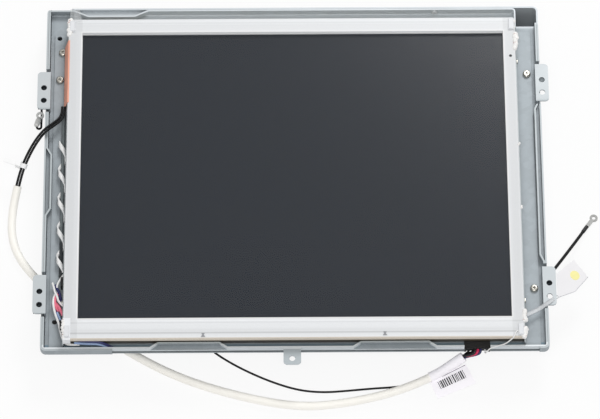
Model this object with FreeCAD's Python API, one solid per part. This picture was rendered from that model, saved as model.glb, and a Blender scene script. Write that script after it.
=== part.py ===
"""Open-frame touch monitor: a 15 inch panel in a folded steel tray, lying on its back.

Millimetres. +X is the monitor's right, +Y its top edge, +Z out of the screen.
The origin lies on the flat back of the rear pan, at the middle of the steelwork's outline.
"""
import FreeCAD, Part
import math
import os

V = FreeCAD.Vector

# Panel: the view drives the display module, and the module drives the glass and the steelwork
view_width = 307.4
view_height = 231.2
view_shift = 1.85            # the view's middle lies this far above the module's
module_margin_x = 18.6       # both side borders of the module together
module_margin_y = 22.3       # upper and lower borders together
module_depth = 11.5
module_x = -0.65
bezel_sheet = 0.5
bezel_roll = 0.8             # radius of the bezel's outer edges
bezel_hole_radius = 1.2
bezel_hole_inset = 3.45      # from the module's right side
bezel_hole_drop = 28.6       # from the module's top
back_sheet = 0.6
film = 0.3
guide_margin_x = 17.0        # the light guide is smaller than the module by these
guide_margin_y = 27.5
guide_thickness = 6.0
guide_hollow = 1.5           # the guide is thinner by this mid way between the lamps
lamp_radius = 1.6
lamp_channel = 4.5
lamp_fit = 0.02              # between a lamp and the bore of its holder
holder_length = 6.0
sheet_stack = 0.8
cell_margin_x = 8.0          # the display cell is smaller than the module by these
cell_margin_y = 10.5
cell_thickness = 2.0
slip = 0.2                   # clearance between stacked pieces of the module
driver_margin = 86.0         # the driver board is narrower than the module by this
driver_height = 26.0
driver_drop = 56.75          # from the module's top to the board's middle
driver_chips = 8
driver_chip_length = 14.0
driver_chip_width = 4.0
driver_chip_height = 1.2

# Steelwork: a deep rear pan and a shallow panel tray nested in it
sheet = 1.2                  # gauge of both sheets
nest_gap = 0.15              # clearance between the nested walls
side_room = 17.3             # from the module's side to the outside of the pan
end_room = 22.9              # the steelwork is higher than the module by this
module_drop = 16.3           # from the steelwork's top to the module's
chassis_depth = 29.0         # from the pan's back to the free edge of the walls
tray_depth = 7.0             # height of the tray's own walls
bend_radius = 2.0            # outside radius of the folds
corner_radius = 4.0          # outside radius of the pan's upright corners
least_corner = 0.6           # inside radius where the gauge leaves none
shelf_height = 79.7          # shallow part of the pan, below the deep well
pan_top_inset = 18.0         # the pan's top wall starts this far from its left side
left_wrap = 51.0             # the pan's lip round the lower left corner
right_wrap = 7.0             # the same round the lower right corner

# Joggles: stretches where the tray's upper wall steps inwards, each by centre, length and depth
joggle_step = 4.0            # height of the step above the tray's underside
joggle_slope = 5.6           # length of each slanted end, on the sides and the bottom
left_joggle = (1.7, 54.4, 3.15)
right_joggle = (0.0, 129.0, 2.5)
bottom_joggle_a = (-75.2, 54.4, 3.7)
bottom_joggle_b = (70.9, 59.0, 3.7)
top_joggle_inset = 45.8      # from the tray's left side to the joggle's middle
top_joggle_length = 53.6
top_joggle_slope = 10.0
top_joggle_depth = 4.6

# Corner notch at the top right of the tray
notch_width = 15.0
notch_height = 12.5
notch_arm = 8.0              # length of the top wall that the turned corner is made on
notch_lap = 4.0              # the turned wall runs past the notch by this

# Ears and tab that fix the monitor
ear_length = 30.5
ear_reach = 6.0              # past the pan's side
ear_root = 3.5               # from the pan's side in to the ear's bend
ear_corner = 2.8
ear_from_ends = 55.7         # mean distance of the hole pairs from the steelwork's ends
left_ears_drop = 15.6        # middle of the left pairs below the steelwork's middle
right_ears_drop = 11.1
ear_hole_radius = 2.15
ear_hole_pitch = 10.4
ear_hole_shift = 3.0         # pair sits below the ear's middle
ear_relief = 2.5             # notch beside each ear
ear_fit = 0.05               # between an ear's wall and the relief cut behind it
nut_bar_depth = 4.0          # tapped bar welded under each ear
nut_bar_margin = 4.8         # past its holes
nut_bar_gap = 0.4            # from the ear's wall, and from its outer edge
nut_bore_depth = 3.0
tab_width = 12.4
tab_x = -1.9
tab_reach = 13.0
tab_hole_radius = 2.1
tab_hole_inset = 4.7         # from the tab's end to the hole

# Openings in the tray
window_margin_x = 36.0       # the tray's window is smaller than the module by these
window_margin_y = 53.5
window_radius = 8.0
cable_notch_inset = 49.85    # from the tray's right side to the notch's middle
cable_notch_width = 18.4
cable_notch_height = 6.2
bush_wall = 1.4
bush_lap = 0.5               # the bush reaches below the pan's shelf by this
plug_depth = 4.0
plate_hole_radius = 1.8
upper_hole_inset = 9.3       # plate holes, from the pan's left side and the nearer end
upper_hole_drop = 22.5
lower_hole_inset = 9.7
lower_hole_rise = 23.2

# Touch sensor
gasket_thickness = 0.5
gasket_width = 5.0
gasket_margin = 2.0          # the gasket is smaller than the module by this
glass_margin_x = 0.2         # the glass is larger than the module by these
glass_margin_y = 5.7
glass_shift = 0.75           # the glass's middle lies this far below the module's
glass_thickness = 2.8
glass_corner = 1.5
glass_chamfer = 0.4
sensor_length = 9.0
sensor_width = 4.2
sensor_height = 1.5
sensor_edge = 0.5            # from the glass's side to a transducer
sensor_end = 1.5             # from the glass's end to a transducer
sensor_chamfer = 0.6
tape_drop = 17.5             # from the glass's top to the copper strip
tape_length = 51.5
tape_lap = 1.0
tape_gauge = 0.25
tape_flare = 2.9
tape_lift = 0.8
wrap_tape_width = 5.2        # white tape folded round the lower left corner of the glass
wrap_tape_length = 16.7
wrap_tape_drop = 6.4         # below the glass's face
wrap_tape_gauge = 0.25

# Side brackets that carry the module
foot_thickness = 1.0
foot_inset = 5.9             # from the pan's side to the foot's outer edge
bracket_leg = 8.0
bracket_low_reach = 4.4      # past the module's lower end
left_bracket_stop = 3.4      # short of the module's upper end
right_bracket_stop = 2.4

# Screws, rivets and studs
screw_head_radius = 2.85
screw_head_height = 2.1
screw_head_dome = 1.15       # radius of the head's rounded edge
screw_radius = 1.45
screw_length = 3.6
screw_recess_radius = 1.15
screw_recess_depth = 1.25
screw_recess_half = 0.35     # half the width of each slot of the cross
left_screw_inset = 10.1      # from the pan's side
right_screw_inset = 9.4
left_screw_drops = (57.6, 34.8)       # from the steelwork's top
left_screw_shifts = (0.0, 1.6)        # nearer to the module
right_screw_drop = 54.5
right_screw_rise = 47.5      # from the steelwork's bottom
module_screw_radius = 1.1
module_screw_inset = 29.75   # from the module's ends
module_screw_head = 1.9
module_screw_grip = 1.4
rivet_inset = 74.55          # from the tray's right side
rivet_rise = 0.6             # above the middle of the tray's wall
rivet_radius = 2.0
rivet_head = 0.9
rivet_tail = 0.5

# Well: vents, wall plate holes and boards
board = 1.6
stud_height = 5.0
stud_radius = 2.6
stud_inset = 4.0             # from a board's edges
board_screw_radius = 1.2
board_screw_head = 1.5
wall_plate = 100.0           # pitch of the wall plate's holes
wall_plate_radius = 2.1
vent_count = 11
vent_pitch = 9.0
vent_length = 26.0
vent_width = 3.2
vent_inset = 62.3            # from the pan's side to the middle of a row
vent_drop = 48.7             # from the steelwork's top
post_radius = 3.2
lower_post_rise = 12.0       # from the well's lower wall
video_size = (0.416, 94.0)   # each board's width as a share of the pan's, and its height
lamp_size = (0.3217, 34.0)
touch_size = (0.1941, 45.0)
video_inset = 57.3           # from the pan's right side
lamp_inset = 20.3            # from the pan's left side
touch_inset = 33.3
video_rise = 3.0             # from the well's lower wall
lamp_rise = 13.0
touch_rise = 69.5
sockets = {                  # place from the video board's middle, width, height and depth
    "video_socket": (-28.0, 31.0, 12.0, 14.0),
    "touch_socket": (14.0, 12.5, 11.0, 16.0),
    "power_socket": (50.0, 9.5, 11.0, 14.5),
}
socket_gap = 0.4
socket_rim = 1.0
socket_reach = 3.5           # past the outside of the wall
power_bore = 3.2
power_bore_depth = 9.0
power_pin = 1.0
chip_height = 2.2
video_chips = ((-0.2, 12.0, 20.0), (0.12, 16.0, 14.0), (0.3, 4.0, 10.0))   # share, rise and size
touch_chip = 12.0
capacitor_radius = 4.0
capacitor_height = 9.5
capacitor_inset = 12.0       # from the video board's upper right corner
capacitor_pitch = 11.0
capacitor_count = 3
core_length = 24.0           # step-up transformers on the lamp board
core_width = 16.0
core_height = 8.0
core_slot_width = 6.0
core_slot_depth = 2.5
ribbon_width = 18.0
ribbon_inset = 30.0          # from the video board's upper edge
ribbon_lap = 4.0             # over the driver board

# Harness beside the module, in a loose spiral wrap
harness_radius = 1.2
wrap_radius = 2.4
wrap_gauge = 0.4
wrap_width = 3.8             # along the harness
wrap_pitch = 23.3
wrap_turn_count = 4.5
wrap_gap = 0.35              # from the bracket's leg
wrap_start_y = 34.4
harness_sink = 0.5           # the harness lies this far below the middle of the wrap
harness_shift = 0.55         # and this far towards the module
harness_ends = (60.0, -74.0)
outlet_rises = (45.6, 11.6)  # from the module's lower end
outlet_length = 7.0
outlet_depth = 1.8
outlet_height = 6.5
lamp_lead_radius = 0.8
lead_bows = (5.4, 4.8, 4.2)
lead_floor = 1.2             # lowest lead above the foot
lead_step = 1.9
lead_turn = 5.0
lead_bulge = 0.4

# Free leads: radius and route of each, drawn for steelwork of the size given first
drawn_for = (180.3, 276.4, 29.0)      # half width, height and depth
held_x = 100.0               # past these the route keeps its distance from the nearer edge
held_y = 50.0
held_z = 19.0
lead_hole_radius = 2.0
grommet_collar = 0.7
grommet_reach = 1.0          # past the outside of the wall
cable_radius = 3.0
cable_points = [(-200.0, 6.8, 12.0), (-202.3, -1.5, 6.8), (-204.0, -12.2, 3.4), (-204.3, -26.0, 3.0),
                (-201.5, -40.0, 3.0), (-193.5, -55.0, 3.0), (-178.0, -72.0, 3.0), (-151.0, -98.5, 3.0),
                (-120.3, -121.5, 3.0), (-84.0, -142.5, 3.0), (-42.0, -157.2, 3.0), (3.0, -166.6, 3.0),
                (38.0, -163.2, 3.2), (72.0, -155.4, 4.6), (99.5, -144.0, 6.9), (109.0, -138.6, 9.4),
                (118.5, -133.5, 14.0)]
lead_radius = 0.9
lead_shift = 1.0             # each of the twin leads lies this far from their common route
twin_points = [(-166.8, 61.4, 31.0), (-166.9, 56.5, 31.8), (-168.6, 50.8, 32.9), (-173.0, 46.2, 33.6),
               (-179.6, 41.4, 33.4), (-185.2, 36.0, 29.8), (-190.4, 29.2, 25.0), (-195.0, 21.4, 19.8),
               (-198.4, 12.6, 15.6), (-199.97, 6.9, 12.07)]
tail_radius = 0.7
tail_points = [(122.8, -133.2, 16.8), (126.6, -133.9, 20.2), (129.6, -133.4, 22.4), (129.6, -130.9, 22.4)]
tail_spread = 2.0            # between neighbouring wires at the plug
tail_bundle = 1.1            # the same at the end of the jacket
thin_radius = 0.75
thin_points = [(-98.0, -53.0, 5.0), (-97.0, -59.5, 3.6), (-94.2, -69.0, 1.6), (-87.0, -85.0, 0.8),
               (-75.5, -103.5, 0.8), (-60.0, -120.3, 0.8), (-46.2, -130.2, 0.8), (-31.0, -138.8, 0.8),
               (-13.5, -146.8, 0.8), (4.0, -152.4, 0.8), (21.0, -153.9, 0.8), (38.0, -152.6, 0.8),
               (56.0, -150.9, 0.8), (69.0, -150.2, 0.8), (82.0, -148.6, 0.8), (99.5, -141.2, 1.6),
               (109.0, -135.8, 4.0), (116.0, -131.8, 7.6), (120.6, -130.2, 12.2), (123.2, -129.2, 15.6),
               (124.0, -129.0, 18.2), (124.0, -129.0, 20.3)]
sensor_lead_radius = 0.45
sensor_lead_points = [(157.75, -124.0, 38.7), (156.4, -124.0, 38.7), (154.6, -128.9, 38.9),
                      (152.0, -130.4, 36.2), (148.4, -131.2, 31.8), (143.5, -131.8, 30.2),
                      (138.6, -132.8, 29.2), (136.0, -134.4, 27.2), (135.0, -135.0, 24.6),
                      (134.6, -133.4, 22.4), (134.6, -130.9, 22.4)]
earth_radius = 0.95
earth_points = [(175.4, -78.6, 19.5), (180.0, -73.0, 18.3), (185.0, -66.6, 16.2), (190.4, -58.2, 13.0),
                (198.2, -45.8, 8.6), (205.0, -34.9, 4.9), (209.0, -28.5, 3.2)]
earth_sleeve_end = (212.1, -23.54, 1.88)
earth_ring = (217.4, -16.2, 0.3)
ear_lead_radius = 0.8
ear_lead_points = [(-181.3, 84.0, 5.0), (-183.2, 84.0, 5.0), (-184.9, 82.0, 3.6), (-184.9, 77.8, 1.6),
                   (-184.5, 72.4, 0.9), (-184.6, 66.4, 0.9), (-184.7, 63.0, 0.9), (-184.6, 60.4, 0.9),
                   (-186.4, 59.3, 0.9), (-188.2, 60.4, 1.2), (-187.7, 62.2, 1.6)]
ear_sleeve_end = (-186.89, 65.12, 2.25)
ear_ring = (-185.6, 69.8, 2.2)
sleeve_radius = 1.4
terminal_gauge = 0.7
terminal_radius = 2.9
terminal_hole = 1.3
terminal_gap = 0.15          # between a terminal's tongue and the end of its sleeve
lug_hole = 1.6
tie_at = (-195.7, 19.6, 18.9)
tie_along = (-0.33, -0.854, -0.408)
tie_turn = -21.0             # of the tail, in plan
tie_radius = 2.6
tie_gauge = 0.5
tie_width = 3.4
tie_tail = 9.5
tie_head = 4.4
tie_head_length = 3.2

# Label on the cable and film tag on the right edge
label_gauge = 0.35
label_turn = 0.65            # two turns of paper and their glue round the cable
label_fit = 0.03             # between the cable's jacket and the label round it
label_runs = 4               # runs and bends of the route, from the cable's end, that the label is round
flag_from = (95.6, -148.1, 5.1)       # ends of the flag's upper edge, and the way it hangs
flag_to = (118.2, -136.5, 12.3)
flag_drop = (5.8, -12.6, -2.2)
tag_fold = 180.3             # the film bends down here, at the pan's side
tag_corners = [(187.0, -74.0), (200.1, -61.3), (209.9, -73.4), (200.0, -86.4), (188.6, -92.4), (187.2, -91.4)]
neck_corners = [(187.2, -91.4), (188.6, -92.4), (188.2, -100.8), (tag_fold, -104.2), (tag_fold, -101.8),
                (186.6, -100.2)]
strap_corners = [(tag_fold, -101.8), (tag_fold, -104.2), (172.5, -107.8), (163.4, -108.9), (163.4, -106.6),
                 (171.8, -105.3)]
tag_height = 29.9
tag_fall = 0.32
tag_gauge = 0.25
tag_dot_place = (200.3, -73.6)
tag_dot_radius = 3.6
tag_dot_gauge = 0.15

over = 1.0                   # a cutting tool runs past the faces it cuts by this

# Edges and levels worked out from the sizes above
module_width = view_width + module_margin_x
module_height = view_height + module_margin_y
guide_width = module_width - guide_margin_x
guide_height = module_height - guide_margin_y
cell_width = module_width - cell_margin_x
cell_height = module_height - cell_margin_y
glass_width = module_width + glass_margin_x
glass_height = module_height + glass_margin_y
pan_width = module_width + 2 * side_room
chassis_height = module_height + end_room
top_y = (chassis_height + tab_reach) / 2
bottom_y = top_y - chassis_height
middle_y = (top_y + bottom_y) / 2
pan_x = pan_width / 2
tray_z = chassis_depth - tray_depth
plate_top = tray_z + sheet
nest = sheet + nest_gap
tray_x = pan_x - nest
tray_top = top_y - nest
well_y = bottom_y + shelf_height
module_top = top_y - module_drop
module_y = module_top - module_height / 2
module_bottom = module_y - module_height / 2
view_y = module_y + view_shift
glass_y = module_y - glass_shift
module_front = plate_top + module_depth
glass_z = module_front + gasket_thickness
glass_top = glass_z + glass_thickness
foot_top = plate_top + foot_thickness
module_left = module_x - module_width / 2
module_right = module_x + module_width / 2
glass_left = module_x - glass_width / 2
glass_low = glass_y - glass_height / 2
tape_high = glass_y + glass_height / 2 - tape_drop
frame_z = plate_top + back_sheet
guide_z = frame_z + film
lamp_z = guide_z + guide_thickness / 2
cell_z = module_front - bezel_sheet - cell_thickness
pocket_width = guide_width + 2 * slip
pocket_height = guide_height + 2 * lamp_channel
module_screw_z = plate_top + bracket_leg * 0.6
module_screw_ys = (module_bottom + module_screw_inset, module_top - module_screw_inset)
driver_y = module_top - driver_drop
driver_width = module_width - driver_margin
top_joggle = (-tray_x + top_joggle_inset, top_joggle_length, top_joggle_depth)
ear_bend = pan_x - ear_root
ear_spacing = chassis_height - 2 * ear_from_ends
cable_notch_x = tray_x - cable_notch_inset
plate_holes = [(-pan_x + upper_hole_inset, top_y - upper_hole_drop),
               (-pan_x + lower_hole_inset, bottom_y + lower_hole_rise)]
foot_edge = pan_x - foot_inset
left_screw_x = -pan_x + left_screw_inset
right_screw_x = pan_x - right_screw_inset
right_screw_low = bottom_y + right_screw_rise
rivet_x = tray_x - rivet_inset
rivet_z = tray_z + tray_depth / 2 + rivet_rise
board_top = sheet + stud_height + board
video_width = video_size[0] * pan_width
lamp_width = lamp_size[0] * pan_width
touch_width = touch_size[0] * pan_width
boards = {                   # middle, width and height
    "video_board": (pan_x - video_inset - video_width / 2, well_y + video_rise + video_size[1] / 2,
                    video_width, video_size[1]),
    "lamp_board": (-pan_x + lamp_inset + lamp_width / 2, well_y + lamp_rise + lamp_size[1] / 2,
                   lamp_width, lamp_size[1]),
    "touch_board": (-pan_x + touch_inset + touch_width / 2, well_y + touch_rise + touch_size[1] / 2,
                    touch_width, touch_size[1]),
}
wall_plate_y = (top_y + well_y) / 2
bush_low = tray_z - sheet - bush_lap
bush_high = plate_top + bush_wall
outlet_ys = [module_bottom + rise for rise in outlet_rises]
lug_place = (right_screw_x, right_screw_low, tray_z - sheet - terminal_gauge)
wrap_x = module_left - foot_thickness - wrap_gap - wrap_radius
wrap_z = foot_top + wrap_radius


def box(x0, x1, y0, y1, z0, z1):
    return Part.makeBox(x1 - x0, y1 - y0, z1 - z0, V(x0, y0, z0))


def centred(width, height, x, y, z0, z1):
    return box(x - width / 2, x + width / 2, y - height / 2, y + height / 2, z0, z1)


def rod(x, y, z, radius, length, axis=V(0, 0, 1)):
    return Part.makeCylinder(radius, length, V(x, y, z), axis)


def fuse(shapes):
    whole = shapes[0].multiFuse(shapes[1:])
    return whole.removeSplitter()


def save(name, shape):
    os.makedirs("parts", exist_ok=True)
    shape.exportStep("parts/" + name + ".step")


def unit(a, b):
    step = b.sub(a)
    return step.multiply(1 / step.Length)


def rounded_face(points, radius):
    """Flat face of a closed outline whose corners are arcs of one radius, or of one each."""
    radii = radius if isinstance(radius, (list, tuple)) else [radius] * len(points)
    corners = [V(x, y, 0) for x, y in points]
    cuts = []
    for i, corner in enumerate(corners):
        before = unit(corner, corners[i - 1])
        after = unit(corner, corners[(i + 1) % len(corners)])
        half = before.getAngle(after) / 2
        reach = radii[i] / math.tan(half)
        middle = before.add(after)
        middle.multiply(1 / middle.Length)
        tip = corner.add(middle * (radii[i] / math.sin(half) - radii[i]))
        cuts.append((corner.add(before * reach), tip, corner.add(after * reach), radii[i]))
    edges = []
    for i, (start, tip, end, size) in enumerate(cuts):
        if size > 0:
            edges.append(Part.Arc(start, tip, end).toShape())
        following = cuts[(i + 1) % len(cuts)][0]
        if end.distanceToPoint(following) > 1e-6:
            edges.append(Part.LineSegment(end, following).toShape())
    return Part.Face(Part.Wire(edges))


def plate(points, radius, z0, z1):
    face = rounded_face(points, radius)
    face.translate(V(0, 0, z0))
    return face.extrude(V(0, 0, z1 - z0))


def rectangle(width, height, x=0.0, y=0.0):
    return [(x - width / 2, y - height / 2), (x + width / 2, y - height / 2),
            (x + width / 2, y + height / 2), (x - width / 2, y + height / 2)]


def inset(points, distance):
    """Outline moved inwards by a distance, for a path that runs anticlockwise."""
    moved = []
    count = len(points)
    for i in range(count):
        here = V(*points[i], 0)
        before = unit(V(*points[i - 1], 0), here)
        after = unit(here, V(*points[(i + 1) % count], 0))
        normal_a = V(-before.y, before.x, 0)
        normal_b = V(-after.y, after.x, 0)
        both = normal_a.add(normal_b)
        shift = both * (distance / (1 + normal_a.dot(normal_b)))
        moved.append((here.x + shift.x, here.y + shift.y))
    return moved


def bottom_edges(solid, z):
    return [edge for edge in solid.Edges
            if edge.BoundBox.ZMax - z < 1e-4 and z - edge.BoundBox.ZMin < 1e-4]


def folded_pan(points, radius, z0, z1, gauge):
    """Open pan with rolled bottom folds: the outside block less the inside one."""
    outside = plate(points, radius, z0, z1)
    outside = outside.makeFillet(bend_radius, bottom_edges(outside, z0))
    hollow = plate(inset(points, gauge), max(radius - gauge, least_corner), z0 + gauge, z1 + over)
    hollow = hollow.makeFillet(bend_radius - gauge, bottom_edges(hollow, z0 + gauge))
    return outside.cut(hollow)


def joggled_side(start, end, inward, joggle, slope=joggle_slope):
    """Points of one straight side, run from start to end, with its slanted inward step."""
    centre, length, depth = joggle
    along_x = abs(end[0] - start[0]) > abs(end[1] - start[1])
    direction = math.copysign(1, end[0] - start[0] if along_x else end[1] - start[1])
    stations = ((-length / 2, 0), (-length / 2 + slope, depth),
                (length / 2 - slope, depth), (length / 2, 0))
    points = []
    for offset, step in stations:
        place = centre + direction * offset
        if along_x:
            points.append((place, start[1] + inward * step))
        else:
            points.append((start[0] + inward * step, place))
    return points


def tray_outline():
    """Lower outline of the tray, anticlockwise from its lower left corner."""
    return [(-tray_x, bottom_y), (tray_x, bottom_y), (tray_x, tray_top), (-tray_x, tray_top)]


def joggled_outline():
    """Outline of the tray's upper wall, with a joggle on each side and two at the bottom."""
    left_bottom, right_bottom, right_top, left_top = tray_outline()
    points = [left_bottom]
    points += joggled_side(left_bottom, right_bottom, 1, bottom_joggle_a)
    points += joggled_side(left_bottom, right_bottom, 1, bottom_joggle_b)
    points += [right_bottom]
    points += joggled_side(right_bottom, right_top, -1, right_joggle)
    points += [right_top]
    points += joggled_side(right_top, left_top, -1, top_joggle, top_joggle_slope)
    points += [left_top]
    points += joggled_side(left_top, left_bottom, 1, left_joggle)
    return points


def ear_middles():
    """Side and height of the middle of each ear's pair of holes."""
    places = []
    for side, drop in ((-1, left_ears_drop), (1, right_ears_drop)):
        for up in (1, -1):
            places.append((side, middle_y - drop + up * ear_spacing / 2))
    return places


def ear(side, pair_y):
    """One ear, folded outwards from the tray's wall, with its two holes."""
    middle = pair_y + ear_hole_shift
    low = middle - ear_length / 2
    high = middle + ear_length / 2
    outer = pan_x + ear_reach
    points = [(side * ear_bend, low), (side * outer, low), (side * outer, high), (side * ear_bend, high)]
    radii = [0, ear_corner, ear_corner, 0]
    if side < 0:
        points.reverse()
        radii.reverse()
    flap = plate(points, radii, chassis_depth - sheet, chassis_depth)
    wall = box(*sorted((side * ear_bend, side * (ear_bend + sheet))), low, high, tray_z, chassis_depth)
    blank = fuse([flap, wall])
    holes = [rod(side * (ear_bend + outer) / 2, pair_y + step * ear_hole_pitch / 2, tray_z,
                 ear_hole_radius, tray_depth + over) for step in (-1, 1)]
    return blank.cut(holes[0].fuse(holes[1]))


def nut_bars():
    """Blind-tapped bars welded under the ears: under both holes at the left, the upper one at the right."""
    shapes = []
    outer = pan_x + ear_reach
    top = chassis_depth - sheet
    for side, pair_y in ear_middles():
        near = side * (ear_bend + sheet + nut_bar_gap)
        far = side * (outer - nut_bar_gap)
        high = pair_y + ear_hole_pitch / 2
        low = high if side > 0 else pair_y - ear_hole_pitch / 2
        bar = box(*sorted((near, far)), low - nut_bar_margin, high + nut_bar_margin, top - nut_bar_depth, top)
        for y in {low, high}:
            bar = bar.cut(rod(side * (ear_bend + outer) / 2, y, top - nut_bore_depth, ear_hole_radius,
                              nut_bore_depth + over))
        shapes.append(bar)
    return Part.makeCompound(shapes)


def ear_gap(side, pair_y):
    """Room cut in a wall for an ear and the relief notch at each end of it."""
    middle = pair_y + ear_hole_shift
    half = ear_length / 2 + ear_relief
    return box(*sorted((side * (ear_bend - ear_fit), side * (pan_x + over))), middle - half, middle + half,
               plate_top, chassis_depth + over)


def tab():
    points = [(tab_x - tab_width / 2, bottom_y - tab_reach), (tab_x + tab_width / 2, bottom_y - tab_reach),
              (tab_x + tab_width / 2, bottom_y + sheet), (tab_x - tab_width / 2, bottom_y + sheet)]
    flap = plate(points, [ear_corner, ear_corner, 0, 0], chassis_depth - sheet, chassis_depth)
    hole = rod(tab_x, bottom_y - tab_reach + tab_hole_inset, tray_z, tab_hole_radius, tray_depth + over)
    return flap.cut(hole)


def cable_notch(grow=0.0):
    """Mouth through the tray's plate and bottom wall where the cable goes in."""
    half = cable_notch_width / 2 + grow
    return box(cable_notch_x - half, cable_notch_x + half, bottom_y - 1.5 * sheet,
               bottom_y + cable_notch_height + grow, tray_z - 2 * sheet, chassis_depth + over)


def panel_tray():
    """Shallow tray of one folded sheet: joggled walls, four ears, a tab and a notched corner."""
    lower = tray_outline()
    upper = joggled_outline()
    step_z = tray_z + joggle_step
    base = folded_pan(lower, corner_radius - nest, tray_z, step_z, sheet)
    ring = plate(upper, 0, step_z - sheet, chassis_depth)
    ring = ring.cut(plate(inset(upper, sheet), 0, tray_z, chassis_depth + over))
    shelf = plate(lower, corner_radius - nest, step_z - sheet, step_z)
    shelf = shelf.cut(plate(inset(upper, sheet), 0, tray_z, chassis_depth))
    corners = plate(lower, corner_radius - nest, tray_z, chassis_depth)
    ring = ring.common(corners)
    body = fuse([base, ring, shelf])

    notch_x = tray_x - notch_width
    notch_y = tray_top - notch_height
    body = body.cut(box(notch_x, tray_x + over, notch_y, tray_top + over, tray_z - over,
                        chassis_depth + over))
    arm_low = notch_y - notch_lap
    arm_left = notch_x - notch_arm
    arm = [(notch_x - sheet, arm_low), (notch_x, arm_low), (notch_x, tray_top), (arm_left, tray_top),
           (arm_left, tray_top - sheet), (notch_x - sheet, tray_top - sheet)]
    corner = corner_radius - nest
    body = body.cut(box(notch_x - corner, notch_x, tray_top - corner, tray_top, plate_top,
                        chassis_depth + over))
    body = body.fuse(plate(arm, [0, 0, corner, 0, 0, corner - sheet], tray_z, chassis_depth))

    window = rectangle(module_width - window_margin_x, module_height - window_margin_y, module_x, module_y)
    body = body.cut(plate(window, window_radius, tray_z - over, plate_top + over))
    for side, pair_y in ear_middles():
        body = body.cut(ear_gap(side, pair_y))
        body = body.fuse(ear(side, pair_y))
    body = body.fuse(tab())
    body = body.cut(cable_notch())
    for x, y in bracket_screw_places():
        body = body.cut(rod(x, y, tray_z - over, screw_radius, sheet + 2 * over))
    for x, y in plate_holes:
        body = body.cut(rod(x, y, tray_z - over, plate_hole_radius, sheet + 2 * over))
    body = body.cut(rivet_hole())
    return body.removeSplitter()


def rivet_hole():
    """Hole for the rivet's shank, right through the nested top walls."""
    return rod(rivet_x, top_y + over, rivet_z, rivet_radius / 2, 2 * (nest + over), V(0, -1, 0))


def rear_pan():
    """Deep pan behind the tray: a well for the boards, and a shelf below it under the tray."""
    outline = [(-pan_x, well_y), (pan_x, well_y), (pan_x, top_y), (-pan_x, top_y)]
    well = folded_pan(outline, corner_radius, 0.0, chassis_depth, sheet)
    shelf_low = bottom_y - nest
    shelf_high = well_y + corner_radius
    rim_high = shelf_high + 2 * corner_radius
    rim = [(-pan_x, shelf_low), (pan_x, shelf_low), (pan_x, rim_high), (-pan_x, rim_high)]
    shelf = folded_pan(rim, corner_radius, tray_z - sheet, chassis_depth, sheet)
    shelf = shelf.cut(box(-pan_x - over, pan_x + over, shelf_high, rim_high + over, 0, chassis_depth + over))
    over_shelf = box(-pan_x + sheet, pan_x - sheet, well_y - sheet, shelf_high + sheet,
                     tray_z, chassis_depth + over)
    body = well.cut(over_shelf).fuse(shelf)
    low_cut = box(-pan_x + left_wrap, pan_x - right_wrap, shelf_low - over, bottom_y - nest_gap / 2,
                  tray_z - 2 * sheet, chassis_depth + over)
    body = body.cut(low_cut)
    body = body.cut(box(-pan_x - over, -pan_x + pan_top_inset, tray_top + nest_gap / 2, top_y + over,
                        tray_z, chassis_depth + over))
    body = body.cut(cable_notch(nest_gap))
    for side, pair_y in ear_middles():
        body = body.cut(ear_gap(side, pair_y))
    for x, y in bracket_screw_places():
        body = body.cut(rod(x, y, tray_z - 2 * sheet, screw_radius, 3 * sheet))
    body = body.cut(rivet_hole())
    body = body.cut(Part.makeCompound(floor_cuts() + wall_cuts()))
    return body.removeSplitter()


def floor_cuts():
    """Vent slots and the wall-plate holes through the back."""
    cuts = []
    half_round = vent_width / 2
    for side in (-1, 1):
        for i in range(vent_count):
            x = side * (pan_x - vent_inset) + (i - (vent_count - 1) / 2) * vent_pitch
            run = vent_length / 2 - half_round
            y = top_y - vent_drop
            slot = centred(vent_width, 2 * run, x, y, -over, sheet + over)
            ends = [rod(x, y + end * run, -over, half_round, sheet + 2 * over) for end in (-1, 1)]
            cuts.append(fuse([slot] + ends))
    for sx in (-1, 1):
        for sy in (-1, 1):
            cuts.append(rod(sx * wall_plate / 2, wall_plate_y + sy * wall_plate / 2, -over,
                            wall_plate_radius, sheet + 2 * over))
    return cuts


def bracket_screw_places():
    left = zip(left_screw_drops, left_screw_shifts)
    places = [(left_screw_x + shift, top_y - drop) for drop, shift in left]
    return places + [(right_screw_x, top_y - right_screw_drop), (right_screw_x, right_screw_low)]


def wall_cuts():
    """Cut-outs in the well's lower wall for the sockets, and one for each free lead."""
    cuts = []
    for offset, width, height, _ in sockets.values():
        x = boards["video_board"][0] + offset
        half = width / 2 + socket_gap
        cuts.append(box(x - half, x + half, well_y - over, well_y + sheet + over,
                        board_top - socket_gap, board_top + height + socket_gap))
    for place, axis, _ in lead_exits():
        cuts.append(Part.makeCylinder(lead_hole_radius, sheet + 2 * grommet_reach, place, axis))
    return cuts


def lead_exits():
    """Outer end, inward axis and radius of each lead that leaves the well through a wall."""
    thin_x, _, thin_z = stretched(thin_points)[0]
    _, ear_y, ear_z = stretched(ear_lead_points)[0]
    return [(V(thin_x, well_y - grommet_reach, thin_z), V(0, 1, 0), thin_radius),
            (V(-pan_x - grommet_reach, ear_y, ear_z), V(1, 0, 0), ear_lead_radius)]


def lead_grommets():
    """Rubber sleeves in the two holes that the free leads leave the well by."""
    shapes = []
    length = sheet + 2 * grommet_reach
    for place, axis, radius in lead_exits():
        body = Part.makeCylinder(lead_hole_radius, length, place, axis)
        collar = Part.makeCylinder(lead_hole_radius + grommet_collar, grommet_reach, place, axis)
        shapes.append(body.fuse(collar).cut(Part.makeCylinder(radius, length, place, axis)))
    return Part.makeCompound(shapes)


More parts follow.
